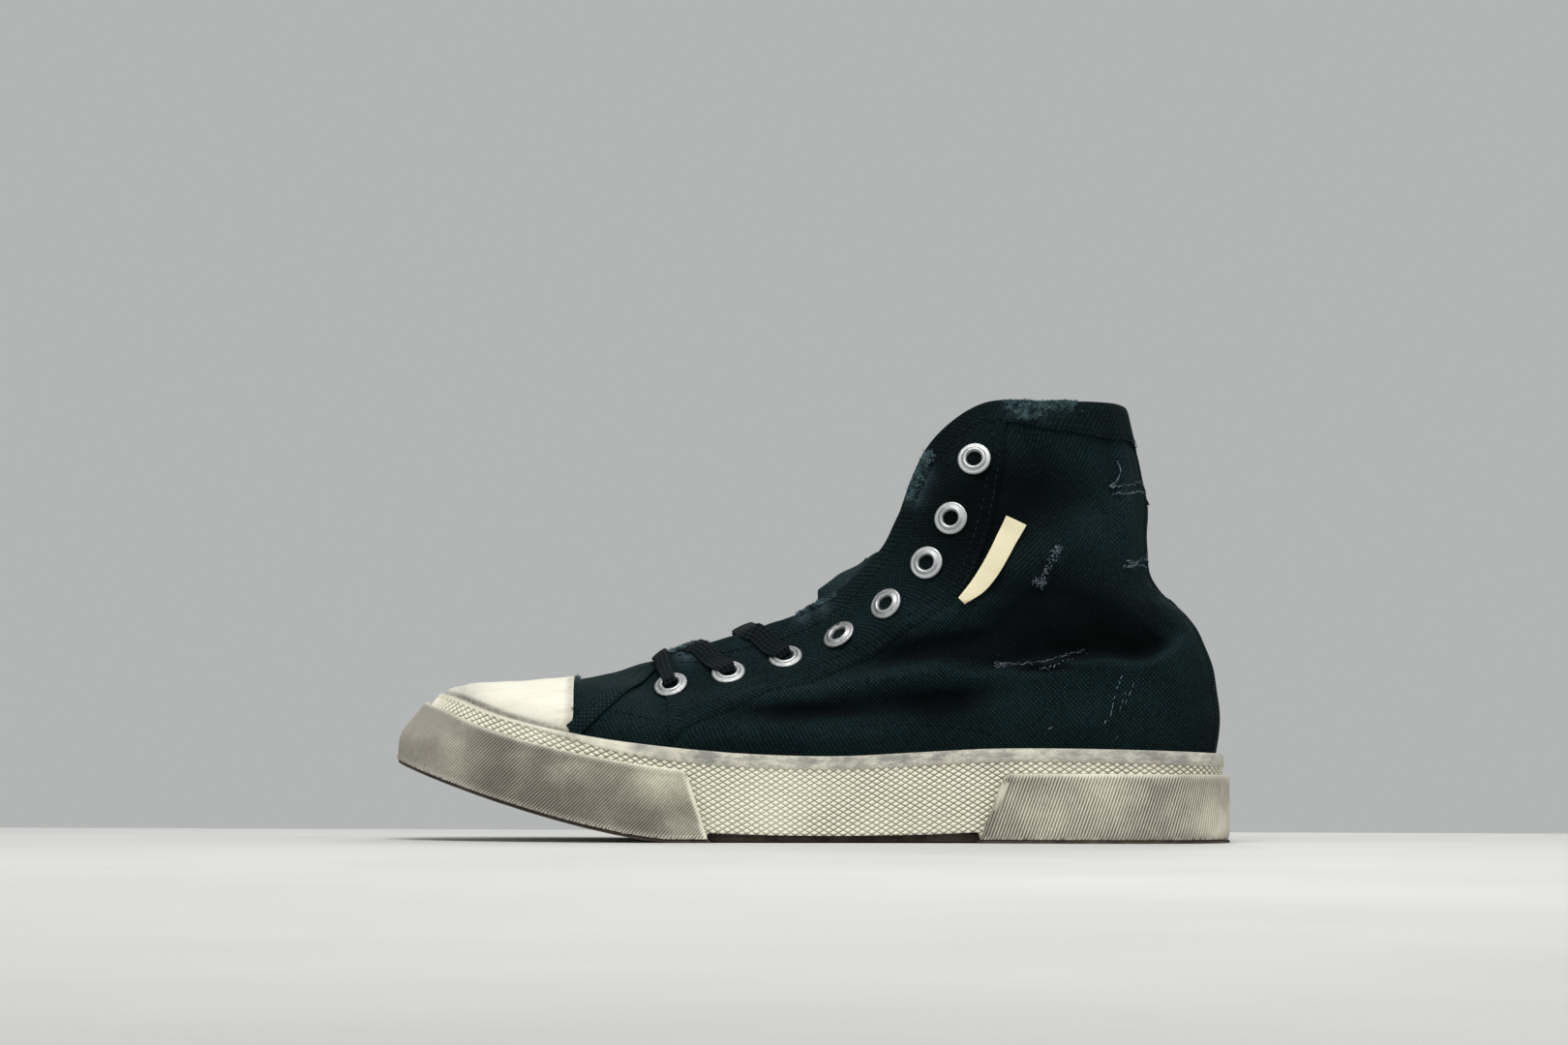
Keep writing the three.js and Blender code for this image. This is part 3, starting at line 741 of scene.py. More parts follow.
def soleWallFinish():                                   # low lozenges with painted shadow along their lower edges and soil in their grooves
    rubber = Finish("creamRubber", roughness=0.62, specular=0.35)
    run, down, _ = rubber.axes(rubber.uv())
    run = run / (knurl["length"] * mm)
    down = down / (knurl["height"] * mm)
    rising = (run + down).math("FRACT")
    falling = (run - down).math("FRACT")
    toLine = (rising - 0.5).math("ABSOLUTE").math("MINIMUM", (falling - 0.5).math("ABSOLUTE"))
    pads = rubber.ramp(toLine, (0.02, 0.0), (0.15, 1.0))
    # Painted shadow along each lozenge's lower edge.
    under = rubber.ramp(rising, (0.24, 0.0), (0.47, 1.0), (0.53, 0.0)).math(
        "MAXIMUM", rubber.ramp(falling, (0.47, 0.0), (0.53, 1.0), (0.76, 0.0)))
    scallop = (run * math.pi).math("COSINE").math("ABSOLUTE") * 0.5
    past = rubber.mask("pastBand") - scallop            # how far below the smooth band's scalloped edge
    knurled = rubber.ramp(past * 0.5 + 0.5, (0.45, 0.0), (0.58, 1.0))
    band = rubber.ramp(past * 0.5 + 0.5, (0.2, 1.0), (0.55, 0.0)) * rubber.mask("topBand")
    edgeLine = rubber.ramp(past * 0.5 + 0.5, (0.42, 0.0), (0.5, 1.0), (0.6, 0.0))
    # Painted shadow under the lozenges plus soil in their grooves.
    groove = (under * 0.75 + (1.0 - pads) * 0.35) * knurled
    patches = rubber.ramp(rubber.noise(38.0, 5.0, 0.65), (0.42, 0.0), (0.66, 1.0))
    fine = rubber.ramp(rubber.noise(420.0, 4.0, 0.7), (0.38, 0.0), (0.68, 1.0))
    tone = rubber.blend(patches * 0.35, palerCream, cream)
    shadowAndSoil = rubber.ramp(rubber.noise(22.0, 4.0, 0.6), (0.38, 0.3), (0.66, 0.95))
    tone = rubber.blend(groove * shadowAndSoil, tone, (0.15, 0.13, 0.09))
    tone = rubber.blend(edgeLine * 0.35, tone, (0.15, 0.13, 0.09))
    scuffs = rubber.ramp(rubber.noise(330.0, 6.0, 0.8, stretch=(0.4, 0.4, 1.0)), (0.42, 0.0), (0.56, 1.0))
    tone = rubber.blend(band * (scuffs * 0.55 + 0.4) * (patches * 0.35 + 0.65), tone, (0.17, 0.17, 0.168))
    smudge = rubber.mask("smudge") * (fine * 0.5 + 0.5)
    tone = rubber.blend(smudge, tone, (0.20, 0.20, 0.195))
    tone = rubber.blend(rubber.mask("grime") * (fine * 0.3 + 0.7), tone, darkDirt)
    rubber.colour(tone)
    rubber.rough(0.55 + fine * 0.25)
    rubber.relief(pads * knurled + fine * 0.2, 0.00025)
    return rubber


def bumperFinish():
    rubber = Finish("ribbedRubber", roughness=0.7, specular=0.3)
    groove = rubber.mask("groove")
    clean = rubber.mask("clean")
    patches = rubber.ramp(rubber.noise(30.0, 5.0, 0.62), (0.38, 0.0), (0.66, 1.0))
    fine = rubber.ramp(rubber.noise(520.0, 4.0, 0.7), (0.35, 0.0), (0.7, 1.0))
    dusty = rubber.blend(patches, (0.42, 0.385, 0.320), (0.72, 0.680, 0.550))
    clean = (clean * (patches * 0.9 + 0.35)).math("MINIMUM", 1.0)
    tone = rubber.blend(clean * 0.9, dusty, (0.80, 0.765, 0.62))
    soil = groove * (1.0 - clean * 0.55) * (patches * -0.12 + 0.98)
    tone = rubber.blend(soil, tone, (0.022, 0.016, 0.013))
    tone = rubber.blend(rubber.mask("tipWear") * (fine * 0.4 + 0.45), tone, (0.24, 0.222, 0.190))
    tone = rubber.blend(fine * 0.16, tone, greyDirt)
    tone = rubber.blend(rubber.mask("grime"), tone, (0.05, 0.04, 0.034))
    rubber.colour(tone)
    rubber.relief(fine, 0.00008)
    return rubber


def capFinish():
    rubber = Finish("capRubber", roughness=0.5, specular=0.4)
    brushed = rubber.noise(60.0, 5.0, 0.65, stretch=(1.0, 1.0, 6.0))
    scuffs = rubber.ramp(brushed, (0.45, 0.0), (0.72, 1.0))
    fine = rubber.ramp(rubber.noise(500.0, 4.0, 0.7), (0.4, 0.0), (0.72, 1.0))
    tone = rubber.blend(scuffs * 0.55, (0.72, 0.695, 0.590), (0.50, 0.480, 0.405))
    tone = rubber.blend(rubber.mask("tipWear") * (fine * 0.55 + 0.4), tone, (0.33, 0.33, 0.31))
    tone = rubber.blend(rubber.mask("grime") * (fine * 0.4 + 0.6), tone, (0.12, 0.11, 0.095))
    rubber.colour(tone)
    rubber.rough(0.42 + scuffs * 0.25)
    rubber.relief(brushed + fine * 0.6, 0.00012)
    return rubber


def outsoleFinish():
    rubber = Finish("treadRubber", roughness=0.8, specular=0.3)
    dust = rubber.ramp(rubber.noise(120.0, 5.0, 0.7), (0.4, 0.0), (0.7, 1.0))
    rubber.colour(rubber.blend(dust, (0.030, 0.018, 0.013), (0.085, 0.062, 0.048)))
    rubber.relief(rubber.noise(700.0, 3.0), 0.00015)
    return rubber


def metalFinish():
    metal = Finish("satinMetal", roughness=0.42, metallic=1.0)
    scratch = metal.ramp(metal.noise(900.0, 3.0, 0.7, stretch=(1.0, 1.0, 0.2)), (0.45, 0.0), (0.7, 1.0))
    cloudy = metal.noise(150.0, 3.0)
    metal.colour(metal.blend(cloudy, (0.27, 0.28, 0.28), (0.43, 0.44, 0.44)))
    metal.rough(0.38 + scratch * 0.16 + cloudy * 0.1)
    metal.relief(scratch, 0.00003)
    return metal


def ribbonFinish():
    ribbon = Finish("creamRibbon", roughness=0.85, specular=0.2, sheen=0.15)
    run, across, _ = ribbon.axes(ribbon.uv())
    rib = (run * (math.pi / (0.5 * mm))).math("SINE").math("ABSOLUTE")
    cloudy = ribbon.ramp(ribbon.noise(70.0, 4.0), (0.35, 0.0), (0.7, 1.0))
    tone = ribbon.blend(cloudy * 0.5, (0.70, 0.640, 0.430), (0.58, 0.520, 0.34))
    # Painted shade of the folded lower end.
    tone = ribbon.blend(ribbon.mask("tip"), tone, (0.36, 0.30, 0.14))
    ribbon.colour(ribbon.blend(rib * 0.12, tone, (0.8, 0.77, 0.6)))
    ribbon.relief(rib + ribbon.noise(900.0) * 0.5, 0.00008)
    return ribbon


# Sole wall: a knurled ring with a smooth scuffed band along its top.
knurl = {
    "length": 3.4, "height": 2.05, "relief": 0.42, "smoothBand": 4.0, "toeBand": 0.3, "rows": 64,
    # where the band is smudged: x, z, reach, strength
    "smudges": [
        (-84, 38.5, 4.5, 0.9), (-78, 37, 3, 0.6), (-60, 34, 4, 0.9), (-52, 30, 4, 0.5), (-38, 31, 5, 0.35),
        (64, 30, 9, 0.3), (92, 30.5, 10, 0.35), (110, 31, 9, 0.4), (128, 30, 10, 0.5), (144, 29, 8, 0.4)],
}


def roundPoint(w, z, inset):                            # along the outer side, round the heel and back
    u = np.where(w > lastStation, 2 * lastStation - w, w)
    near = wallPoint(outer, u, z, inset)
    far = wallPoint(inner, u, z, inset)
    return np.where((w > lastStation)[..., None], far, near)


def pushedOut(points, push):                            # moves points along the grid's own normals
    alongRows = np.gradient(points, axis=0)
    across = np.gradient(points, axis=1)
    normal = np.cross(alongRows, across)
    normal /= np.linalg.norm(normal, axis=-1, keepdims=True) + 1e-12
    return points + normal * push[..., None]


def makeSoleWall():                                     # four columns and four rows of points to a lozenge
    dense = np.linspace(0, 2 * lastStation, 1600)
    lengths = runLengths(roundPoint(dense, 20.0 + 0 * dense, sole["cupFace"]))
    cells = round(lengths[-1] / knurl["length"])
    column = np.arange(4 * cells + 1)[:, None]
    w = np.interp(column / (4 * cells) * lengths[-1], lengths, dense)
    u = np.where(w > lastStation, 2 * lastStation - w, w)
    x = along("x", u)
    top = along("top", u)
    arch = sole["arch"]                                 # the wall's lower edge bows down under the arch
    bow = arch["rise"] + arch["bow"] * ((x - arch["middle"]) / arch["half"]) ** 2
    foot = np.where((x > arch["from"]) & (x < arch["to"]), bow, springZ(x) + sole["lip"])
    row = np.arange(knurl["rows"])[::-1]
    zs = np.maximum(top - row * knurl["height"] / 4, foot)
    face = roundPoint(w, zs, sole["cupFace"])
    fromTop = top - zs
    rising = column / 4 + fromTop / knurl["height"]
    falling = column / 4 - fromTop / knurl["height"]
    toLine = np.minimum(np.abs(rising % 1 - 0.5), np.abs(falling % 1 - 0.5))
    bandHere = knurl["toeBand"] + (knurl["smoothBand"] - knurl["toeBand"]) * ease(u, 3.2, 4.9)
    pastBand = fromTop - bandHere
    past = pastBand - 0.5 * np.abs(np.cos(np.pi * column / 4))
    lip = 0.3 * (1 - ease(past, -0.3, 0.35)) * ease(fromTop, 0.0, 0.6)
    wobble = (0.10 * np.sin(column * 0.2) + 0.08 * np.sin(column * 0.52 + 1)) * ease(fromTop, 5, 0)
    grooves = knurl["relief"] * (1 - np.clip(toLine * 4, 0, 1)) * ease(past, -0.2, 0.4)
    face = pushedOut(face, lip + wobble - grooves)
    rises = (column[:-1] + row[:-1]) % 4 == 2           # quads whose groove runs up their first diagonal
    return face, pastBand, column * knurl["length"] / 4, fromTop, rises


# The chosen quads are split on one diagonal and the rest on the other, so the grooves run along edges.
def splitQuads(piece, first):
    across = piece.data.polygons[0].vertices
    wide = max(across) - 1
    methods = ("FIXED", "FIXED_ALTERNATE") if across[0] in (0, wide + 1) else ("FIXED_ALTERNATE", "FIXED")
    chooseOnly(piece)
    bpy.context.tool_settings.mesh_select_mode = (False, False, True)
    for chosen, method in ((first, methods[0]), (None, methods[1])):
        if chosen is not None:
            piece.data.vertices.foreach_set("select", np.zeros(len(piece.data.vertices), bool))
            piece.data.edges.foreach_set("select", np.zeros(len(piece.data.edges), bool))
            piece.data.polygons.foreach_set("select", chosen.ravel())
        bpy.ops.object.mode_set(mode="EDIT")
        if chosen is None:
            bpy.ops.mesh.select_all(action="SELECT")
        bpy.ops.mesh.quads_convert_to_tris(quad_method=method)
        bpy.ops.object.mode_set(mode="OBJECT")
    bpy.context.tool_settings.mesh_select_mode = (True, False, False)


# A ring of rubber: its outer face is given, and its top, inner face and foot are closed behind it.
def ringPiece(name, face, topInset, innerDepth, masks, run, down, rises=None):
    alongRows = np.gradient(face, axis=0)
    flat = unit(np.cross(alongRows[:, -1], [0, 0, 1.0]))
    middle = face[:, -1].mean(axis=0)
    if np.mean(np.sum(flat * (face[:, -1] - middle), axis=1)) > 0:
        flat = -flat                                    # now points into the shoe
    topRow = face[:, -1]
    extra = [
        topRow + flat * 0.3 + [0, 0, 0.22],
        topRow + flat * (topInset * 0.5) + [0, 0, 0.3],
        topRow + flat * (topInset - 0.3) + [0, 0, 0.2],
        topRow + flat * topInset + [0, 0, -0.2],
        topRow + flat * topInset + [0, 0, -innerDepth],
        face[:, 0] + flat * topInset + [0, 0, 0.4],
        face[:, 0] + flat * (topInset - 0.3),
    ]
    whole = np.concatenate([face] + [row[:, None] for row in extra] + [face[:, :1]], axis=1)
    down = np.concatenate([down, np.full((len(face), len(extra) + 1), -1.0)], axis=1)
    uv = np.stack(np.broadcast_arrays(run, down), axis=-1)
    piece = formedGrid(name, whole, uv)
    for maskName, values, fill in masks:
        padded = np.concatenate([values] + [np.full((len(face), 1), fill)] * (len(extra) + 1), axis=1)
        addMask(piece, maskName, padded)
    if rises is not None:
        beyond = np.zeros((len(rises), whole.shape[1] - face.shape[1]), bool)
        splitQuads(piece, np.concatenate([rises, beyond], axis=1))
    mergeDoubles(piece)
    smooth(piece, 60)
    return piece


def blobs(points, spots):                               # soft round patches: x, z, reach, strength
    total = np.zeros(points.shape[:-1])
    for x, z, reach, strength in spots:
        away = np.hypot(points[..., 0] - x, (points[..., 2] - z) * 1.6)
        near = points[..., 1] < 8
        total = np.maximum(total, strength * np.exp(-(away / reach) ** 2) * near)
    return total


face, pastBand, lengths, fromTop, rises = makeSoleWall()
smudges = blobs(face, knurl["smudges"])
grime = 0.85 * (1 - ease(face[..., 2] - face[:, :1, 2], 0.0, 0.7)) + 0.3 * np.exp(-(fromTop / 0.45) ** 2)
bandWear = 0.3 + 0.7 * ease(face[..., 0], -78, -30)
soleWall = ringPiece("soleWallRing", face, 3.0, 8.0, [
    ("pastBand", pastBand, -3.0), ("topBand", bandWear, 0.4), ("smudge", smudges, 0.0), ("grime", grime, 0.5),
], lengths, fromTop, rises)
finished(soleWall, soleWallFinish(), "cream_rubber", "sole_wall")
print("sole wall")


# Bumpers: ribbed rubber round the toe and the heel, the ribs leaning back up towards the heel.
toeRibs = {
    "pitch": 1.16, "relief": 0.55, "lean": 0.84, "drop": 3.4, "perStation": 0.8, "end": (-36.6, -0.32),
    "rim": 0.9, "corner": (-44.6, 1.6),
    "clean": [
        (-86, 25, 9, 1.0), (-54, 20, 11, 1.0), (-122, 34, 10, 0.4), (-100, 30, 7, 0.3), (-46, 6, 7, 0.7)],
}
heelRibs = {
    "pitch": 1.16, "relief": 0.55, "lean": 0.36, "top": 24.2, "end": (57.8, 0.39), "rim": 0.0,
    "corner": (66.8, 2.8),
    "clean": [(84, 12, 20, 0.45), (116, 10, 20, 0.8), (147, 8, 14, 1.0), (104, 19, 14, 0.6)],
}


def rounded(x, corner, facing):                         # how far the top drops to round off a band's corner
    end, radius = corner
    into = np.clip(radius - facing * (x - end), 0, radius)
    return radius - np.sqrt(radius ** 2 - into ** 2)


def ribbedGrid(uFrom, uTo, ribs, topAt, leanAt, rows):
    us = np.linspace(0, lastStation, 800)
    lengths = runLengths(wallPoint(outer, us, 14.0, 0.0))
    sFrom, sTo = np.interp([uFrom, uTo], us, lengths)
    count = int(round((sTo - sFrom) / ribs["pitch"])) * 6
    run = np.linspace(sFrom, sTo, count + 1)
    levels = np.linspace(0, 1, rows)
    baseU = np.interp(run, lengths, us)
    foot = springZ(along("x", baseU)) + sole["lip"]
    rise = topAt(baseU) - foot
    place = run[:, None] + leanAt(baseU)[:, None] * rise[:, None] * (levels - 0.5)
    place = np.abs(place) if uFrom == 0 else place
    overEnd = place > lengths[-1]
    place = np.where(overEnd, 2 * lengths[-1] - place, place)
    u = np.interp(place, lengths, us)
    foot = springZ(along("x", u)) + sole["lip"]
    z = foot + (topAt(u) - foot) * levels
    facing = -1 if uFrom == 0 else 1
    z = z - rounded(along("x", u), ribs["corner"], facing) * levels ** 8
    return u, z, np.arange(count + 1), levels


def ribWave(index, sharpness=1.7):
    wave = np.abs(np.sin(np.pi * index / 6.0))
    return wave ** sharpness


def makeBumper(name, ribs, uFrom, uTo, topAt, leanAt, rows):
    u, z, index, levels = ribbedGrid(uFrom, uTo, ribs, topAt, leanAt, rows)
    near = wallPoint(outer, u, z, 0.0)
    far = wallPoint(inner, u, z, 0.0)
    wave = np.broadcast_to(ribWave(index)[:, None], z.shape)
    edge = ease(levels, 0.0, 0.03) * (1 - ease(levels, 0.955, 0.975))
    groove = (1 - wave) * edge
    if uFrom == 0:
        grid = np.concatenate([near[::-1], far[1:]])
        groove = np.concatenate([groove[::-1], groove[1:]])
    else:
        grid = np.concatenate([near, far[::-1][1:]])
        groove = np.concatenate([groove, groove[::-1][1:]])
    foot, slope = ribs["end"]
    toEnd = np.abs(grid[..., 0] - foot - slope * grid[..., 2]) / math.hypot(1, slope)
    rim = 1 - ease(toEnd, ribs["rim"], ribs["rim"] + 0.4)
    worn = ease(-grid[..., 0], 112, 146) if uFrom == 0 else ease(grid[..., 0], 128, 149) * 0.6
    if uFrom > 0:                                       # packed with soil at the slanted end
        groove = np.clip(groove + 0.35 * (1 - ease(toEnd, 1.0, 5.5)), 0, 1)
    groove = groove * (1 - rim) * (1 - 0.6 * worn)
    across = np.broadcast_to(levels, grid.shape[:2])
    softEdge = 0.6 * (1 - ease(across, 0.0, 0.09)) + 0.45 * ease(across, 0.94, 1.0)
    grid = pushedOut(grid, -ribs["relief"] * groove - softEdge)
    clean = np.maximum(blobs(grid, ribs["clean"]), rim)
    grime = 0.9 * (1 - ease(across, 0.0, 0.02))
    tipWear = worn * (uFrom == 0)
    piece = ringPiece(name, grid, 1.95, 0.6, [
        ("groove", groove, 0.0), ("clean", clean, 0.6), ("grime", grime, 0.2), ("tipWear", tipWear, 0.0),
    ], runLengths(grid[:, -1])[:, None], across * 20)
    facing = (1, 0, -slope) if uFrom == 0 else (-1, 0, slope)
    trimmed(piece, (foot, 0, 0), Vector(facing).normalized())
    return piece


bumperRubber = bumperFinish()


def toeTop(u):
    drop = toeRibs["drop"] + toeRibs["perStation"] * np.minimum(u, 6)
    return along("top", u) - drop


def toeLean(u):
    return toeRibs["lean"] * ease(u, 0.0, 2.2)


def heelTop(u):
    return np.minimum(heelRibs["top"], along("top", u) - 3)


def heelLean(u):
    return heelRibs["lean"] * (1 - ease(u, 11.5, 14))


toeBumper = makeBumper("toeBumperRibs", toeRibs, 0, 6.3, toeTop, toeLean, 26)
finished(toeBumper, bumperRubber, "dirty_rubber", "toe_bumper")
heelBumper = makeBumper("heelBumperRibs", heelRibs, 8.3, lastStation, heelTop, heelLean, 18)
finished(heelBumper, bumperRubber, "dirty_rubber", "heel_bumper")
print("bumpers")


# Upper: one canvas shell with its folds, thickened inwards.
shell = {"stationSteps": 14, "wall": 1.8, "skirt": 0.28, "throatEnd": 5.0, "throatSteps": [5.02, 5.05, 5.12]}


def arcUv(points, reference):                           # real lengths along both ways of a grid
    stepsU = np.linalg.norm(np.diff(points, axis=0), axis=-1)
    stepsV = np.linalg.norm(np.diff(points, axis=1), axis=-1)
    alongU = np.concatenate([np.zeros((1, points.shape[1])), np.cumsum(stepsU, axis=0)])
    alongV = np.concatenate([np.zeros((points.shape[0], 1)), np.cumsum(stepsV, axis=1)], axis=1)
    return np.stack([alongU - alongU[reference], alongV], axis=-1)


def joinedHalves(name, halves, reference=0, distance=0.00002):
    piece = joined(name, [formedGrid("half", half, arcUv(half, reference)) for half in halves])
    mergeDoubles(piece, distance)
    return piece


def makeUpper():
    us = np.linspace(0, lastStation, lastStation * shell["stationSteps"] + 1)
    us = np.sort(np.concatenate([us, shell["throatSteps"]]))
    vs = np.concatenate([
        np.linspace(-shell["skirt"], 0, 5)[:-1], np.linspace(0, 0.5, 53)[:-1], np.linspace(0.5, 1, 37)])
    u, v = np.meshgrid(us, vs, indexing="ij")
    halves = [clothPoint(side, u, v)[0] for side in (outer, inner)]
    seam = (halves[0] + halves[1]) / 2
    crest = us <= shell["throatEnd"]                    # ahead of the throat the two sides meet on top
    for half in halves:
        half[0], half[-1] = seam[0], seam[-1]
        half[crest, -1] = seam[crest, -1]
    piece = joinedHalves("canvasShell", halves, 10 * shell["stationSteps"])
    applied(piece, "SOLIDIFY", thickness=shell["wall"] * mm, offset=-1, use_rim=True)
    return piece


tearSpots = [
    # x, z, reach, strength
    (73, 156, 4, 0.9), (80, 156, 4, 0.9), (88, 157, 3.5, 0.6), (36, 124, 3.5, 0.7), (38, 131, 4, 0.8),
    (-4, 82, 3, 0.6), (3, 85, 3, 0.6), (-46, 68, 4, 0.8), (86, 102, 1.8, 0.35), (81, 92.5, 1.8, 0.4),
    (113, 126, 2, 0.3), (115, 99.5, 2, 0.3), (-85, 58.4, 1.6, 0.7),
]
# Painted light and shade on the outer side: paler patches (plus) are painted light with some faded dye,
# darker patches (minus) are painted shade in the shaft's front and top, the hollows and the ledge's crease.
fadesAndShades = [
    # x, z, half length, half height, change
    (-62, 47, 28, 14, 0.25), (-4, 52, 24, 3.5, 0.2), (38, 59, 22, 4, 0.22), (54, 81, 20, 7, 0.3),
    (110, 118, 15, 22, 0.38), (100, 49, 34, 12, 0.3), (128, 76, 12, 14, 0.2), (4, 38, 30, 5, 0.12),
    (56, 124, 26, 36, -0.62), (92, 80, 26, 12, -0.7), (100, 151, 24, 6, -0.3), (46, 49, 14, 6, -0.42),
    (48, 69, 24, 5, -0.5), (0, 46.5, 26, 3.2, -0.36), (98, 38, 18, 5, -0.2), (92, 104, 12, 8, -0.15),
    (82, 62.0, 15, 1.3, -0.8),
]


def wornAt(points):
    total = np.zeros(len(points))
    for x, z, reach, strength in tearSpots:
        away = np.hypot(points[:, 0] - x, points[:, 2] - z)
        total = np.maximum(total, strength * np.exp(-(away / reach) ** 2) * (points[:, 1] < 6))
    return total


def wearAndPaintedLightAt(points):                                 # painted light and shade with some wear: fold ridges painted paler, hollows painted darker, then the patches above
    total = 0.5 + 0.17 * foldAt(points)
    for x, z, halfLength, halfHeight, change in fadesAndShades:
        away = ((points[:, 0] - x) / halfLength) ** 2 + ((points[:, 2] - z) / halfHeight) ** 2
        total = total + change * np.exp(-away) * (points[:, 1] < 4)
    return np.clip(total, 0.0, 1.0)


upper = makeUpper()
paint(upper, "worn", wornAt)
paint(upper, "fullness", wearAndPaintedLightAt)
smooth(upper, 70)
finished(upper, canvas, "black_canvas", "upper")
print("upper")


# Toe cap: smooth rubber over the front of the vamp.
cap = {"lift": 0.3, "wall": 1.1, "back": -87, "stationSteps": 16, "heightSteps": 40}


def makeCap():
    us = np.linspace(0, 4.9, int(4.9 * cap["stationSteps"]) + 1)
    vs = np.concatenate([[-0.14, -0.07], np.linspace(0, 1, cap["heightSteps"] + 1)])
    u, v = np.meshgrid(us, vs, indexing="ij")
    halves = []
    for side in (outer, inner):
        dents = 0.10 * np.sin(0.5 * upperPoint(side, u, v)[..., 0]) * np.sin(3 * v)
        halves.append(clothPoint(side, u, v, cap["lift"] + dents * ease(v, 0, 0.2))[0])
    seam = (halves[0] + halves[1]) / 2
    for half in halves:
        half[0] = seam[0]
        half[:, -1] = seam[:, -1]
    piece = joinedHalves("capShell", halves)
    applied(piece, "SOLIDIFY", thickness=cap["wall"] * mm, offset=1, use_rim=True)
    trimmed(piece, (cap["back"], 0, 0), (1, 0, 0))
    spots = placesOf(piece)                             # its back edge leans forward as it nears the sole
    overWall = spots[:, 2] - np.interp(spots[:, 0], [-110, -82], [43.7, 37.4])
    swing = 0.05 * np.abs(spots[:, 1] - 6) - 1.4 * (1 - ease(overWall, 0, 6.0))
    spots[:, 0] += swing * ease(spots[:, 0], -99, cap["back"])
    piece.data.vertices.foreach_set("co", (spots * mm).ravel())
    piece.data.update()
    return piece


def capTipWear(places):
    return 0.75 * ease(-places[:, 0], 112, 130)


def capGrime(places):                                   # dark along its back edge and down by the sole
    x, z = places[:, 0], places[:, 2]
    soleLine = np.interp(x, [-135, -125, -108, -87], [53.2, 51, 44.5, 38.8])
    return np.maximum(0.5 * ease(x, -87.5, -87.05), 1 - ease(z - soleLine, 0.0, 1.8))


toeCap = makeCap()
paint(toeCap, "tipWear", capTipWear)
paint(toeCap, "grime", capGrime)
smooth(toeCap, 50)
finished(toeCap, capFinish(), "cap_rubber", "toe_cap")
print("toe cap")


# Tongue: a sheet under the throat, its end folded over on itself.
tongueForm = {
    "from": 13 / 3, "to": 29 / 3, "underlap": 0.32, "depth": 3.1, "wall": 2.2, "sag": 1.5,
    "up": (-0.5, 0, 0.86),
    "fold": {"from": 6.98, "to": 7.72, "half": 0.46, "rise": 3.0, "wall": 2.4, "round": 0.8},
}
tongueUp = np.array(tongueForm["up"])


def tonguePoint(u, w):
    side = outer if w < 0 else inner
    grow = ease(u, 7.7, 8.6)
    crown = ((5.5 - 11.5 * grow) * halfGap(u)) / 12 - tongueForm["sag"]
    if abs(w) > 0.5:
        v = np.full_like(u, 1 - tongueForm["underlap"] * (2 * abs(w) - 1))
        return upperPoint(side, u, v) - upperNormal(side, u, v) * tongueForm["depth"]
    top = np.ones_like(u)
    near = upperPoint(outer, u, top) - upperNormal(outer, u, top) * tongueForm["depth"]
    far = upperPoint(inner, u, top) - upperNormal(inner, u, top) * tongueForm["depth"]
    middle = near + (far - near) * (0.5 + w)
    return middle + tongueUp * (crown * (1 - 4 * w * w))[:, None]


def makeTongue():
    us = np.linspace(tongueForm["from"], tongueForm["to"], 110)
    ws = np.linspace(-1, 1, 41)
    points = np.stack([tonguePoint(us, w) for w in ws], axis=1)
    softened = points.copy()
    for _ in range(3):
        softened[:, 1:-1] = (softened[:, :-2] + 2 * softened[:, 1:-1] + softened[:, 2:]) / 4
    points[:, 8:-8] = softened[:, 8:-8]
    x, y, z = points[..., 0], points[..., 1], points[..., 2]
    bulge = 0.5 * np.sin(x * 0.35 + 1.0) + 0.35 * np.sin(y * 0.5 + z * 0.1)
    slack = ease(us, 5.4, 6.2)[:, None, None] * np.clip(1 - np.abs(ws) * 1.6, 0, 1)[None, :, None]
    points = points + tongueUp * (bulge - 1.0)[..., None] * slack
    piece = formedGrid("tongueSheet", points, arcUv(points, 0))
    mergeDoubles(piece)
    turnUp(piece)
    applied(piece, "SOLIDIFY", thickness=tongueForm["wall"] * mm, offset=-1, use_rim=True)
    return piece


def makeTongueFold():
    form = tongueForm["fold"]
    us = np.linspace(form["from"], form["to"], 34)
    ws = np.linspace(-form["half"], form["half"], 25)
    points = np.stack([tonguePoint(us, w) for w in ws], axis=1)
    rise = form["rise"] * ease(us, 6.98, 7.05) * (1 - ease(us, 7.3, 7.7))
    rise = rise[:, None] * (1 - 0.5 * (ws / form["half"]) ** 4)[None, :]
    points = points + tongueUp * rise[..., None]
    fold = formedGrid("tongueFold", points, arcUv(points, 0))
    turnUp(fold)
    applied(fold, "SOLIDIFY", thickness=form["wall"] * mm, offset=-1, use_rim=True)
    edge = {"limit_method": "ANGLE", "angle_limit": math.radians(50)}
    applied(fold, "BEVEL", width=form["round"] * mm, segments=3, **edge)
    return fold


def tongueWear(places):                                 # rubbed pale where it shows past the lace
    return 0.3 * np.exp(-((places[:, 0] - 12) / 9) ** 2) * (places[:, 2] > 84)


def tongueWearAndPaintedLight(places):
    return np.full(len(places), 0.5)


tongue = joined("tongueSheet", [makeTongue(), makeTongueFold()])
paint(tongue, "worn", tongueWear)
paint(tongue, "fullness", tongueWearAndPaintedLight)
smooth(tongue, 60)
finished(tongue, canvas, "black_canvas", "tongue")
print("tongue")


# Layers sewn on the shell: eyestays, edge bindings, tapes.
def clothPath(side, places, count, lift):
    u, v = spotsAt(side, places)
    line = smoothPath(np.stack([u, v], axis=1), count)
    points, normals = clothPoint(side, line[:, 0], np.clip(line[:, 1], 0, 1), np.full(count, lift))
    return points, normals, line


def sewnOn(piece, finish):
    paint(piece, "worn", wornAt)
    paint(piece, "fullness", wearAndPaintedLightAt)
    smooth(piece, 60)
    finished(piece, finish, "black_canvas")


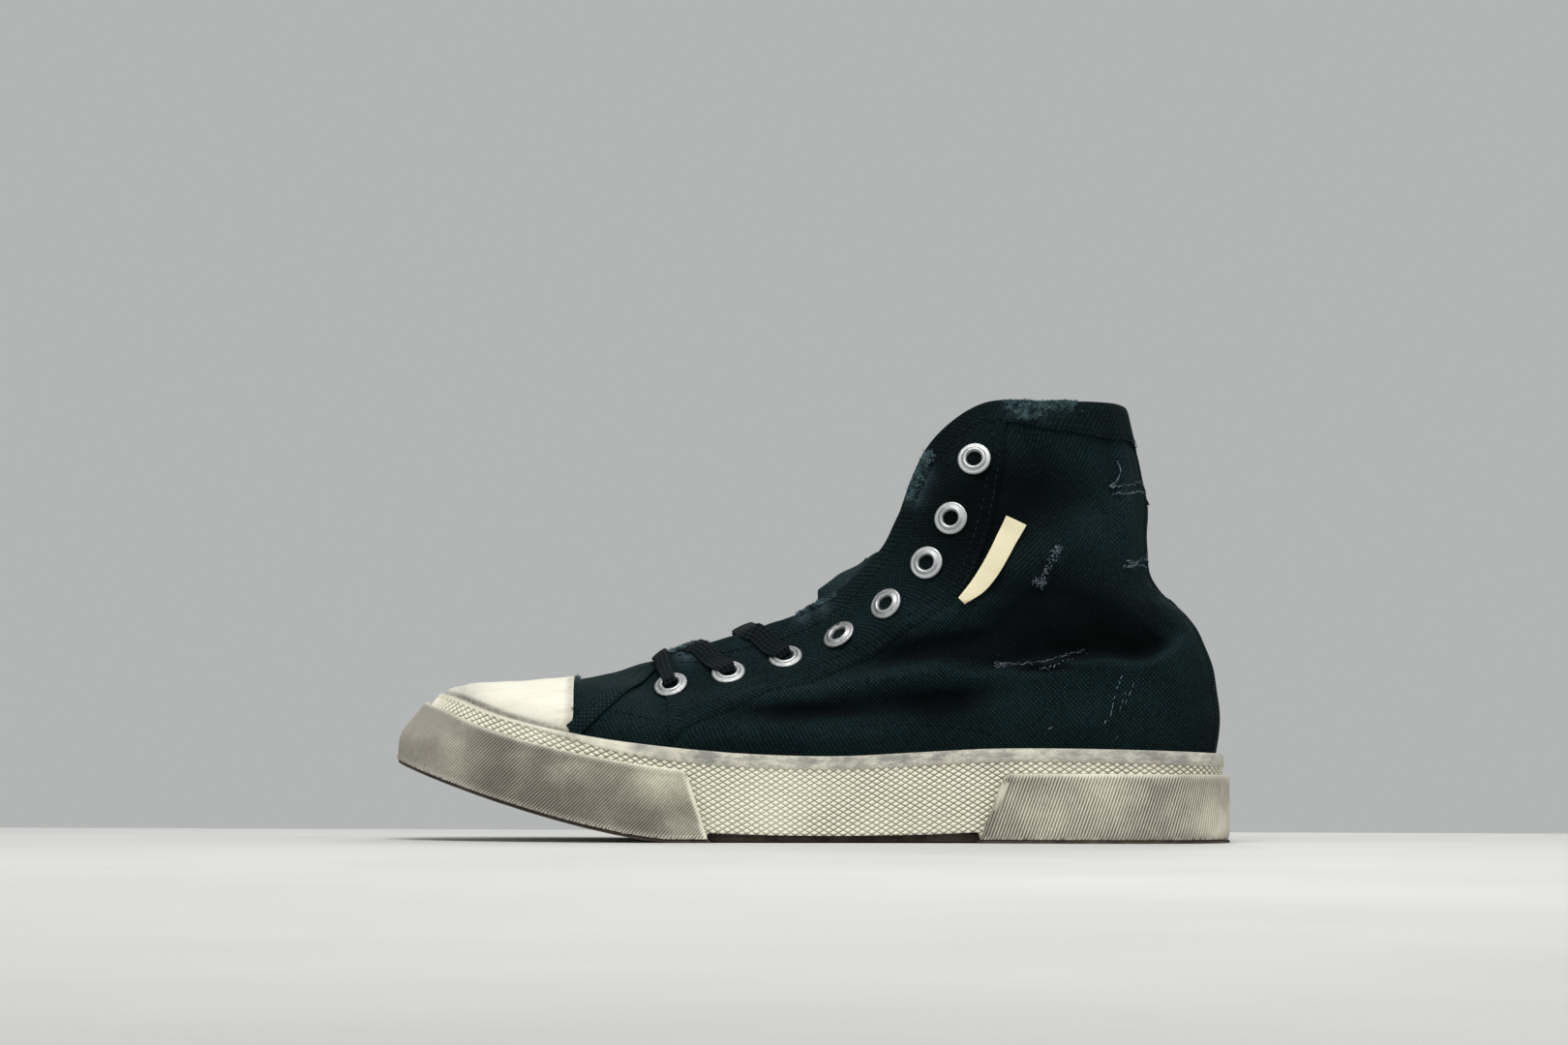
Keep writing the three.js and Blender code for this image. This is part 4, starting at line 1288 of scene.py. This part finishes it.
eyestay = {
    "edge": [
        (-50.3, 34.4), (-43.4, 40.3), (-33.5, 44.4), (-19.4, 50.3), (-5.4, 54.4), (8.4, 59.9), (22.4, 66.4),
        (30, 72.6), (41.6, 79.4), (50.2, 85.6), (55.7, 92.1), (59.8, 102.4), (63.9, 115.8), (66.7, 129.8),
        (69, 147), (70.5, 156)],
    "topFrom": 5.0, "topTo": 10.45, "topSpread": 0.93, "lift": 0.95, "edgeDrop": 1.0, "wall": 0.6,
    "columns": 210, "rows": 30,
}


def makeEyestay(name, side):
    u, v = spotsAt(side, eyestay["edge"])
    line = smoothPath(np.stack([u, v], axis=1), eyestay["columns"])
    share = np.linspace(0, 1, eyestay["columns"])
    topU = eyestay["topFrom"] + (eyestay["topTo"] - eyestay["topFrom"]) * share ** eyestay["topSpread"]
    across = np.linspace(0, 1, eyestay["rows"])
    gridU = line[:, :1] + (topU[:, None] - line[:, :1]) * across
    gridV = line[:, 1:] + (1 - line[:, 1:]) * across
    points, normals = clothPoint(side, gridU, np.clip(gridV, 0, 1), np.full(gridU.shape, eyestay["lift"]))
    roll = (1 - ease(across, 0, 0.03))[None, :] * eyestay["edgeDrop"]
    points = points - normals * roll[..., None]
    piece = formedGrid(name, points, arcUv(points, 0))
    mergeDoubles(piece)
    middle = piece.data.polygons[len(piece.data.polygons) // 2]
    if middle.normal.y * side < 0:
        piece.data.flip_normals()
    applied(piece, "SOLIDIFY", thickness=eyestay["wall"] * mm, offset=-1, use_rim=True)
    sewnOn(piece, canvas)


for eyestayName, eyestaySide in (("eyestayOuter", outer), ("eyestayInner", inner)):
    makeEyestay(eyestayName, eyestaySide)
print("eyestays")


vampTape = {
    "line": [(-85, 38.6), (-78, 44.8), (-71, 50.6), (-64, 56), (-59.5, 61)],
    "width": 5.4, "thick": 1.3, "lift": 0.9, "columns": 70,
}


def makeVampTape(name, side):
    points, normals, _ = clothPath(side, vampTape["line"], vampTape["columns"], vampTape["lift"])
    piece = band(name, points, normals, vampTape["width"], vampTape["thick"], 0.3, 9)
    sewnOn(piece, tape)


def edgeBand(name, uFrom, uTo, width, thickness, count):   # folded over the top edge of the shell
    halves = []
    for side in (outer, inner):
        us = np.linspace(uFrom, uTo, count)
        profile = [(-width, 0.5), (-width, 0.95), (-0.6 * width, thickness), (-0.2 * width, thickness + 0.05),
                   (0, thickness), (0.5, 0.5 * thickness), (0.75, -0.9), (0.5, -2.3), (0, -2.75),
                   (-0.4 * width, -2.6), (-width, -2.4), (-width, -1.6)]
        top, normal = clothPoint(side, us, np.ones(count))
        below, _ = clothPoint(side, us, np.full(count, 0.93))
        up = unit(top - below)
        rings = []
        for rise, out in profile + [profile[0]]:
            if rise < -0.05 * width and out > 0:
                span = -rise / np.maximum(lastHeight(side, us), 20)
                base, away = clothPoint(side, us, 1 - span)
                rings.append(base + away * out)
            else:
                rings.append(top + up * rise + normal * out)
        halves.append(np.stack(rings, axis=1))
    sewnOn(joinedHalves(name, halves, distance=0.00005), tape)


def lastHeight(side, us):                               # length of the shell from sole wall to top edge
    vs = np.linspace(0, 1, 40)
    points = upperPoint(side, us[:, None], vs[None, :])
    return np.linalg.norm(np.diff(points, axis=1), axis=-1).sum(axis=1)


bindings = {
    # from station, to station, width, thickness, columns
    "throatBinding": (5.02, 9.9, 5.6, 1.5, 170), "collarBinding": (9.9, 14, 7.2, 1.5, 130),
}
for bindingName, bindingSizes in bindings.items():
    edgeBand(bindingName, *bindingSizes)
for tapeName, tapeSide in (("vampTapeOuter", outer), ("vampTapeInner", inner)):
    makeVampTape(tapeName, tapeSide)


backTape = {"half": 0.52, "flare": 0.25, "lift": 0.8, "roll": 0.7, "wall": 0.6, "top": 0.985}


def makeBackStay():                                     # narrow tape down the back seam
    vs = np.linspace(0.0, backTape["top"], 140)
    spread = np.linspace(0, 1, 8)
    u = lastStation - (backTape["half"] + backTape["flare"] * (1 - vs))[:, None] * spread
    roll = ease(spread, 0.85, 1.0)[None, :] * backTape["roll"]
    halves = []
    for side in (outer, inner):
        v = np.broadcast_to(vs[:, None], u.shape)
        points, normals = clothPoint(side, u, v, np.full(u.shape, backTape["lift"]))
        halves.append(points - normals * roll[..., None])
    seam = (halves[0][:, 0] + halves[1][:, 0]) / 2
    for half in halves:
        half[:, 0] = seam
    piece = joinedHalves("backStay", halves)
    if piece.data.polygons[len(piece.data.polygons) // 2].normal.x < 0:
        piece.data.flip_normals()
    applied(piece, "SOLIDIFY", thickness=backTape["wall"] * mm, offset=-1, use_rim=True)
    sewnOn(piece, tape)


makeBackStay()
print("bindings and tapes")


# Stitches: one small rounded stitch, repeated along each seam.
stitch = {
    "length": 2.1, "pitch": 2.7, "thick": 0.5,
    # line, how far to one side of it, lift
    "rows": [
        (eyestay["edge"], 1.8, 1.1), (eyestay["edge"], 4.9, 1.1),
        (vampTape["line"], 1.6, 1.5), (vampTape["line"], -1.6, 1.5),
        ([(-76, 46), (-66, 45), (-56, 43)], 0.0, 0.2),
        ([(2, 40.5), (24, 42), (46, 41.5), (66, 38)], 0.0, 0.1)],
    # from station, to station, points, drop below the top edge, lift
    "edgeRows": [(5.25, 9.9, 300, 4.4, 1.5), (5.25, 9.9, 300, 8.4, 1.1), (9.9, 13.9, 200, 6.0, 1.5)],
}


def stitchModel():
    deselectAll()
    bpy.ops.mesh.primitive_uv_sphere_add(segments=6, ring_count=4, radius=0.5)
    model = bpy.context.object
    model.scale = (stitch["length"] * mm, stitch["thick"] * mm, stitch["thick"] * 0.8 * mm)
    bpy.ops.object.transform_apply(location=False, rotation=False, scale=True)
    return model


def framesAlong(points, normals, pitch):
    lengths = runLengths(points)
    stops = np.arange(pitch / 2, lengths[-1], pitch)
    place = np.stack([np.interp(stops, lengths, points[:, k]) for k in range(3)], axis=1)
    ahead = np.stack([np.interp(stops + 0.4, lengths, points[:, k]) for k in range(3)], axis=1) - place
    up = np.stack([np.interp(stops, lengths, normals[:, k]) for k in range(3)], axis=1)
    frames = []
    for spot, run, normal in zip(place, ahead, up):
        if np.linalg.norm(run) < 1e-6:
            continue
        run = run / np.linalg.norm(run)
        side = np.cross(normal, run)
        side /= np.linalg.norm(side)
        frames.append((spot, np.stack([run, side, np.cross(run, side)], axis=1)))
    return frames


def offsetPlaces(places, away):                         # the same line, moved square to itself in x and z
    places = np.array(places, float)
    run = unit(np.gradient(places, axis=0))
    return places + np.stack([-run[:, 1], run[:, 0]], axis=1) * away


def stitchRows():
    frames = []
    for side in (outer, inner):
        for places, away, lift in stitch["rows"]:
            line = offsetPlaces(places, away)
            points, normals, _ = clothPath(side, line, 30 * len(line), lift)
            frames += framesAlong(points, normals, stitch["pitch"])
        for uFrom, uTo, count, drop, lift in stitch["edgeRows"]:
            us = np.linspace(uFrom, uTo, count)
            points, normals = clothPoint(side, us, 1 - drop / lastHeight(side, us), np.full(count, lift))
            frames += framesAlong(points, normals, stitch["pitch"])
    return frames


stitches = copiesOf("seamStitches", stitchModel(), stitchRows())
smooth(stitches, 80)
finished(stitches, stitchThread, "black_canvas")
print("stitches")


# Eyelets: a rolled metal ring with a wide face and a deep hole.
eyeletForm = {
    "places": [
        (-50.3, 53.9), (-30.2, 58.8), (-9.9, 65.1), (9.6, 72.9), (26.2, 84.2), (40.4, 99), (49, 115),
        (57.6, 135.9)],
    "profile": [
        (2.6, -1.8), (2.62, 0.0), (2.8, 0.75), (3.2, 1.2), (3.7, 1.28), (4.15, 1.05), (4.45, 0.68),
        (4.75, 0.55), (5.3, 0.62), (5.75, 0.55), (6.05, 0.2), (5.95, -0.25), (4.2, -0.35), (3.2, -0.5),
        (3.1, -1.8)],
    "tilt": [14, 9, 1, -11, -11, 0, 0, 0],              # how far each ring is pulled up, degrees
    "lift": [2.1, 1.6, 1.2, 1.3, 1.3, 1.2, 1.2, 1.2], "steps": 40,
}


def eyeletModel():                                      # the ring's half section, spun round its axis
    deselectAll()
    count = len(eyeletForm["profile"])
    bpy.ops.mesh.primitive_circle_add(vertices=count, radius=1 * mm, fill_type="NOTHING")
    model = bpy.context.object
    for vertex, (r, z) in zip(model.data.vertices, eyeletForm["profile"]):
        vertex.co = (r * mm, 0, z * mm)
    bpy.ops.object.mode_set(mode="EDIT")
    bpy.ops.mesh.select_all(action="SELECT")
    bpy.ops.mesh.spin(steps=eyeletForm["steps"], angle=2 * math.pi, center=(0, 0, 0), axis=(0, 0, 1))
    bpy.ops.mesh.select_all(action="SELECT")
    bpy.ops.mesh.remove_doubles(threshold=0.00001)
    bpy.ops.mesh.normals_make_consistent(inside=False)
    bpy.ops.object.mode_set(mode="OBJECT")
    return model


def eyeletFrame(side, k):                               # the ring's middle, its axes, and the way it faces
    u, v = spotsAt(side, [eyeletForm["places"][k]])
    point, _ = clothPoint(side, u, v)
    normal = upperNormal(side, u, v)[0]
    normal = normal + np.array([0, side, 0]) * math.tan(math.radians(eyeletForm["tilt"][k]))
    normal /= np.linalg.norm(normal)
    run = np.cross([0, 0, 1.0], normal)
    run /= np.linalg.norm(run)
    turn = np.stack([run, np.cross(normal, run), normal], axis=1)
    return point[0] + normal * eyeletForm["lift"][k], turn, normal


metal = metalFinish()
for eyeletSide, sideWord in ((outer, "Outer"), (inner, "Inner")):
    for k in range(len(eyeletForm["places"])):
        spot, turn, _ = eyeletFrame(eyeletSide, k)
        ring = copiesOf(f"eyelet{sideWord}{k + 1}", eyeletModel(), [(spot, turn)])
        smooth(ring, 60)
        finished(ring, metal, "satin_metal", f"eyelet_{sideWord.lower()}_{k + 1}")
print("eyelets")


# Lace: a flat braid through the lowest three pairs. A run lies over the cloth where it comes out of an
# eyelet, and dives under the throat's edge on the side where it doesn't.
laceForm = {
    "thick": 1.4, "neck": 4.8, "columns": 110,
    # outer eyelet, inner eyelet, over the cloth on the outer side, on the inner side, width, height
    "runs": [
        (0, 0, True, True, 6.2, 1.3), (1, 0, True, False, 8.0, 1.1), (0, 1, False, True, 8.0, 1.9),
        (2, 1, True, False, 8.0, 1.1), (1, 2, False, True, 8.0, 1.9)],
}


def laceLeg(side, index, middle, isOver):               # from the eyelet to the throat's edge
    u, v = spotsAt(side, [eyeletForm["places"][index]])

    def rest(share, reach, lift):
        a, b = u + (middle - u) * share, np.clip(v + (1 - v) * reach, 0, 1)
        point, normal = clothPoint(side, a, b, np.array([lift]))
        return point[0], normal[0]

    if not isOver:
        return [rest(0.55, 0.55, -3.0), rest(0.8, 0.8, -2.9), rest(0.97, 1.0, -2.2)]
    ring, _, up = eyeletFrame(side, index)
    aim, _ = rest(0.5, 0.6, 2.0)
    away = aim - ring
    away /= np.linalg.norm(away)
    return [
        (ring - up * 3.4 + away * 0.2, up), (ring - up * 0.4 + away * 0.5, up),
        (ring + up * 1.7 + away * 1.6, up), rest(0.34, 0.45, 2.1), rest(0.62, 0.8, 2.3), rest(0.88, 1.0, 1.9),
    ]


def laceRun(fromIndex, toIndex, overOuter, overInner, width, height):
    su, _ = spotsAt(outer, [eyeletForm["places"][fromIndex]])
    eu, _ = spotsAt(inner, [eyeletForm["places"][toIndex]])
    middle = (su[0] + eu[0]) / 2 - 0.05
    crown = tonguePoint(np.array([middle]), 0.0)[0] + np.array([-0.5, 0, height])
    route = laceLeg(outer, fromIndex, middle, overOuter)
    route = route + [(crown, np.array([-0.4, 0, 0.9]))]
    route = route + laceLeg(inner, toIndex, middle, overInner)[::-1]
    count = laceForm["columns"]
    points = smoothPath([place for place, _ in route], count)
    normals = unit(smoothPath([normal for _, normal in route], count))
    share = np.linspace(0, 1, count)
    spread = (ease(share, 0.12, 0.3) if overOuter else 1) * (1 - ease(share, 0.7, 0.88) if overInner else 1)
    neck = min(laceForm["neck"], width * 0.7)
    widths = neck + (width - neck) * spread * np.ones(count)
    ahead = unit(np.gradient(points, axis=0))
    normals = unit(normals - ahead * np.sum(normals * ahead, axis=1, keepdims=True))
    laceLengths.append(runLengths(points)[-1])
    return band("run", points, normals, widths, laceForm["thick"], 0.35, 11)


laceLengths = []
lace = joined("flatLace", [laceRun(*run) for run in laceForm["runs"]])
smooth(lace, 70)
finished(lace, braidFinish(), "lace_braid", "lace_crossings")
print("lace", round(sum(laceLengths)), "mm")


# Side ribbon.
ribbonForm = {
    "line": [(71.6, 114.0), (68.3, 107.7), (65.6, 102.3), (62, 96), (57.9, 90.4), (52.3, 84.9)],
    "widths": [7.9, 7.3, 7.0, 6.7, 5.8, 3.2], "thick": 0.8, "lift": 1.5,
}


def makeRibbon():
    count = 90
    points, normals, _ = clothPath(outer, ribbonForm["line"], count, ribbonForm["lift"])
    widths = smoothPath([[w] for w in ribbonForm["widths"]], count)[:, 0]
    share = np.linspace(0, 1, count)
    curl = 0.8 * ease(share, 0.75, 1.0) + 0.5 * (1 - ease(share, 0.0, 0.15))
    points = points + normals * curl[:, None]
    return band("sideRibbon", points, normals, widths, ribbonForm["thick"], 0.15, 11)


def ribbonTip(places):                                  # the lower end is painted darker, as painted shade of its fold
    return 0.8 * (1 - ease(places[:, 2], 85.0, 85.8))


ribbon = makeRibbon()
paint(ribbon, "tip", ribbonTip)
smooth(ribbon, 60)
finished(ribbon, ribbonFinish(), "cream_ribbon", "side_strip")
print("ribbon")


# Frayed fluff and torn threads: many thin curled strands, in joined meshes.
random = np.random.default_rng(7)


def strandMesh(name, strands, finish, radius):
    sides = 3
    places, faces = [], []
    start = 0
    for path in strands:
        path = np.asarray(path, float)
        ahead = np.gradient(path, axis=0)
        ahead /= np.linalg.norm(ahead, axis=1, keepdims=True) + 1e-9
        side = np.cross(ahead, [0.3, 0.5, 0.8])
        side /= np.linalg.norm(side, axis=1, keepdims=True) + 1e-9
        up = np.cross(ahead, side)
        size = radius * np.linspace(1, 0.75, len(path))[:, None]
        rings = [path + size * (side * math.cos(a) + up * math.sin(a)) for a in (0, 2.1, 4.2)]
        places.append(np.stack(rings, axis=1).reshape(-1, 3))
        for k in range(len(path) - 1):
            for s in range(sides):
                a, b = start + k * sides + s, start + k * sides + (s + 1) % sides
                faces.append((a, b, b + sides, a + sides))
        faces.append((start + 2, start + 1, start))
        end = start + (len(path) - 1) * sides
        faces.append((end, end + 1, end + 2))
        start = end + sides
    piece = meshPiece(name, np.concatenate(places) * mm, faces)
    smooth(piece, 180)
    finished(piece, finish, "black_canvas")


def curl(root, normal, reach, length, loop):            # one small loop of cotton, rising off the cloth
    flat = random.normal(size=3)
    flat -= normal * (flat @ normal) * 0.7
    flat /= np.linalg.norm(flat)
    over = np.cross(flat, normal) + normal * random.uniform(-0.3, 0.9)
    over /= np.linalg.norm(over)
    steps = np.linspace(0, 1, 6)[:, None]
    turn = steps * math.pi * random.uniform(0.9, 1.9)
    size = loop * random.uniform(0.6, 1.2)
    drift = random.normal(size=3) * 0.25 + normal * reach
    return root + length * drift * steps + size * (flat * np.sin(turn) + over * (1 - np.cos(turn)) * 0.6)


fluffForm = {
    "thick": 0.13, "loop": 0.55,
    # side, line, spread in stations, number, length, lift, reach
    "patches": [
        (outer, [(72, 156.0), (76, 154.8), (84, 156.2), (91, 157.4)], 0.055, 1750, 0.9, 1.5, 0.5),
        (outer, [(73, 153.8), (77, 152.6), (80, 154)], 0.035, 500, 0.8, 1.5, 0.4),
        (outer, [(73, 157.8), (79, 158.0), (88, 158.0)], 0.045, 750, 0.9, 1.2, 1.0),
        (outer, [(36, 124), (38.4, 130), (41.8, 137.5)], 0.035, 1300, 0.8, 1.7, 0.6),
        (outer, [(-5, 81.4), (0, 83.4), (7, 86.8)], 0.03, 420, 0.6, 1.5, 0.4),
        (outer, [(-52, 66), (-46, 67.8), (-40, 69.4)], 0.035, 800, 0.8, 1.7, 0.5),
        (outer, [(-86.0, 57.7), (-85.4, 58.0), (-84.6, 58.4)], 0.012, 40, 0.8, 0.3, 0.7),
        (inner, [(74, 156.6), (84, 156.4), (92, 156.8)], 0.06, 560, 0.9, 1.5, 0.5)],
}


def fluffPatch(side, places, spread, count, length, lift, reach):
    u, v = spotsAt(side, places)
    line = smoothPath(np.stack([u, v], axis=1), 40)
    clumps = random.integers(0, len(line), size=max(4, count // 45))
    k = clumps[random.integers(0, len(clumps), size=count)]
    away = random.normal(size=(count, 2)) * spread * [1.0, 0.14]
    lifts = lift + np.abs(random.normal(size=count)) * 0.4
    roots, normals = clothPoint(side, line[k, 0] + away[:, 0], np.clip(line[k, 1] + away[:, 1], 0, 1), lifts)
    sizes = length * random.uniform(0.5, 1.3, size=count)
    return [curl(root, normal, reach, size, fluffForm["loop"])
            for root, normal, size in zip(roots, normals, sizes)]


fluff = []
for patch in fluffForm["patches"]:
    fluff += fluffPatch(*patch)
strandMesh("frayedFluff", fluff, fluffThread, fluffForm["thick"])
print("fluff", len(fluff))


tornForm = {
    "thick": 0.19,
    # line, number, spread across it, length, bow, how far each turns off the line
    "rows": [
        ([(106.4, 127.4), (111, 127.8), (116, 128.4), (119.4, 126.6)], 34, 0.28, 1.0, 0.5, 0.5),
        ([(107.4, 125.0), (112, 125.2), (118, 125.9)], 24, 0.25, 1.0, 0.5, 0.5),
        ([(110.2, 98.4), (114, 99.1), (119.4, 99.0)], 26, 0.3, 1.0, 0.5, 0.7),
        ([(111.5, 100.4), (115.6, 100.9), (119.8, 101.3)], 20, 0.35, 1.0, 0.5, 0.8),
        ([(119.0, 103.8), (119.4, 101.2), (119.6, 98.2)], 14, 0.15, 1.0, 0.3, 0.4),
        ([(77.6, 91.4), (80.8, 93.4), (83.2, 98.6), (86.6, 104.4)], 48, 0.8, 1.0, 0.6, 1.4),
        ([(79, 91.6), (82.4, 92.2)], 24, 0.8, 1.0, 0.6, 1.5),
        ([(84.4, 102.4), (86.8, 104), (87.4, 105)], 22, 0.6, 1.0, 0.5, 1.4),
        ([(64, 63.6), (70, 63.3), (77, 63.6)], 26, 0.28, 0.8, 0.35, 0.5),
        ([(77, 63.7), (84, 65.0), (90, 66.8), (96.5, 68.6)], 30, 0.24, 0.9, 0.4, 0.5),
        ([(64, 62.4), (68.4, 62.6)], 18, 0.5, 0.8, 0.4, 1.2),
        ([(80, 61.2), (84, 62.4), (92, 65.4)], 10, 0.3, 0.9, 0.3, 0.5)],
    # short scratches, three threads each, and the length of their threads
    "scratches": [
        ([(105, 46), (106.4, 51.5)], 1.7), ([(108.5, 47.5), (110, 53)], 1.7), ([(110.6, 50), (113, 56)], 1.7),
        ([(107.4, 55), (108.6, 58.6)], 1.7), ([(102.8, 42.4), (103.2, 43.2)], 0.7),
        ([(83.2, 40.3), (84, 40.8)], 0.7), ([(107, 37.2), (107.3, 37.6)], 0.7)],
}


def tornRow(places, count, cross, length, bow, scatter):   # broken threads lying along a line
    points, normals, _ = clothPath(outer, places, count, 0.35)
    run = unit(np.gradient(points, axis=0))
    strands = []
    for point, normal, ahead in zip(points, normals, run):
        over = np.cross(normal, ahead)
        start = point + over * random.normal() * cross + normal * random.uniform(0, 0.25)
        heading = ahead * random.uniform(0.5, 1.0) + over * random.normal() * scatter
        heading /= np.linalg.norm(heading)
        steps = np.linspace(-0.5, 0.5, 5)[:, None]
        size = length * random.uniform(0.5, 1.4)
        arch = normal * bow * (1 - 4 * steps ** 2) * random.uniform(0.4, 1.2)
        strands.append(start + heading * size * steps + arch)
    return strands


torn = []
for row in tornForm["rows"]:
    torn += tornRow(*row)
for scratch, scratchLength in tornForm["scratches"]:
    torn += tornRow(scratch, 3, 0.12, scratchLength, 0.08, 0.12)
strandMesh("tornThreads", torn, tornThread, tornForm["thick"])
print("torn threads", len(torn))


looseForm = {
    # ends that hang free behind the heel, as x, z, y
    "hanging": [
        [(115.6, 127.0, -9), (118.6, 126.8, -6), (120.4, 124.6, -5.5), (121.6, 122.3, -5.5)],
        [(118.6, 94.6, -10), (122.0, 93.2, -8.5), (124.6, 91.0, -8), (126.8, 89.0, -8)],
        [(117.6, 100, -9), (119.6, 98.6, -8), (119.9, 96.6, -8)]],
    "hangingThick": 0.34, "double": 0.4,
    "curved": [(105.8, 127.2), (108.6, 129.6), (109.4, 133.2), (108.4, 136.6)],
    "curvedLift": [0.3, 0.9, 1.0, 0.5], "curvedThick": 0.24,
}


def looseThreads():                                     # a few long ends that hang free
    ends = []
    for line in looseForm["hanging"]:
        path = smoothPath([(x, y, z) for x, z, y in line], 18)
        for shift in (0.0, looseForm["double"]):
            ends.append(path + [shift, shift * 0.6, -shift * 0.5])
    u, v = spotsAt(outer, looseForm["curved"])
    points, _ = clothPoint(outer, u, v, np.array(looseForm["curvedLift"]))
    return ends, [smoothPath(points, 22)]


hanging, curved = looseThreads()
strandMesh("hangingThreads", hanging, stitchThread, looseForm["hangingThick"])
strandMesh("curvedThread", curved, tornThread, looseForm["curvedThick"])
print("loose threads", len(hanging) + len(curved))


# Footbed: a cloth-covered foam sheet inside the cup, a little raised along its edge.
footbedForm = {"edge": 8.2, "thick": 3.6, "rim": 0.5, "above": 4.1, "spring": 0.92}


def heelPrint(places):                                  # darker where a heel has pressed
    return 0.8 - 0.5 * np.exp(-((places[:, 0] - 105) / 22) ** 2)


def makeFootbed():
    us = np.linspace(0, lastStation, 100)
    x = along("x", us)
    cup = sole["floorHeight"] + sole["heelRise"] * ease(x, -10, 90)
    rise = footbedForm["spring"] * springZ(x) + cup + footbedForm["above"]
    near = wallPoint(outer, us, rise, footbedForm["edge"])[:, None]
    far = wallPoint(inner, us, rise, footbedForm["edge"])[:, None]
    across = np.linspace(0, 1, 25)[None, :, None]
    points = near + (far - near) * across
    points[..., 2] += footbedForm["rim"] * ((2 * across[..., 0] - 1) ** 4 - 1)
    piece = formedGrid("footbed", points, arcUv(points, 0), closeRound=True)
    turnUp(piece)
    applied(piece, "SOLIDIFY", thickness=footbedForm["thick"] * mm, offset=-1, use_rim=True)
    paint(piece, "fullness", heelPrint)
    smooth(piece, 60)
    finished(piece, liningCloth, "lining_cloth", "insole")


makeFootbed()
print("footbed")


# The rubber outsole keeps its frame shape and gets its finish.
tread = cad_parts["outsole"]
tread.data.materials.clear()
tread.data.materials.append(outsoleFinish().material)
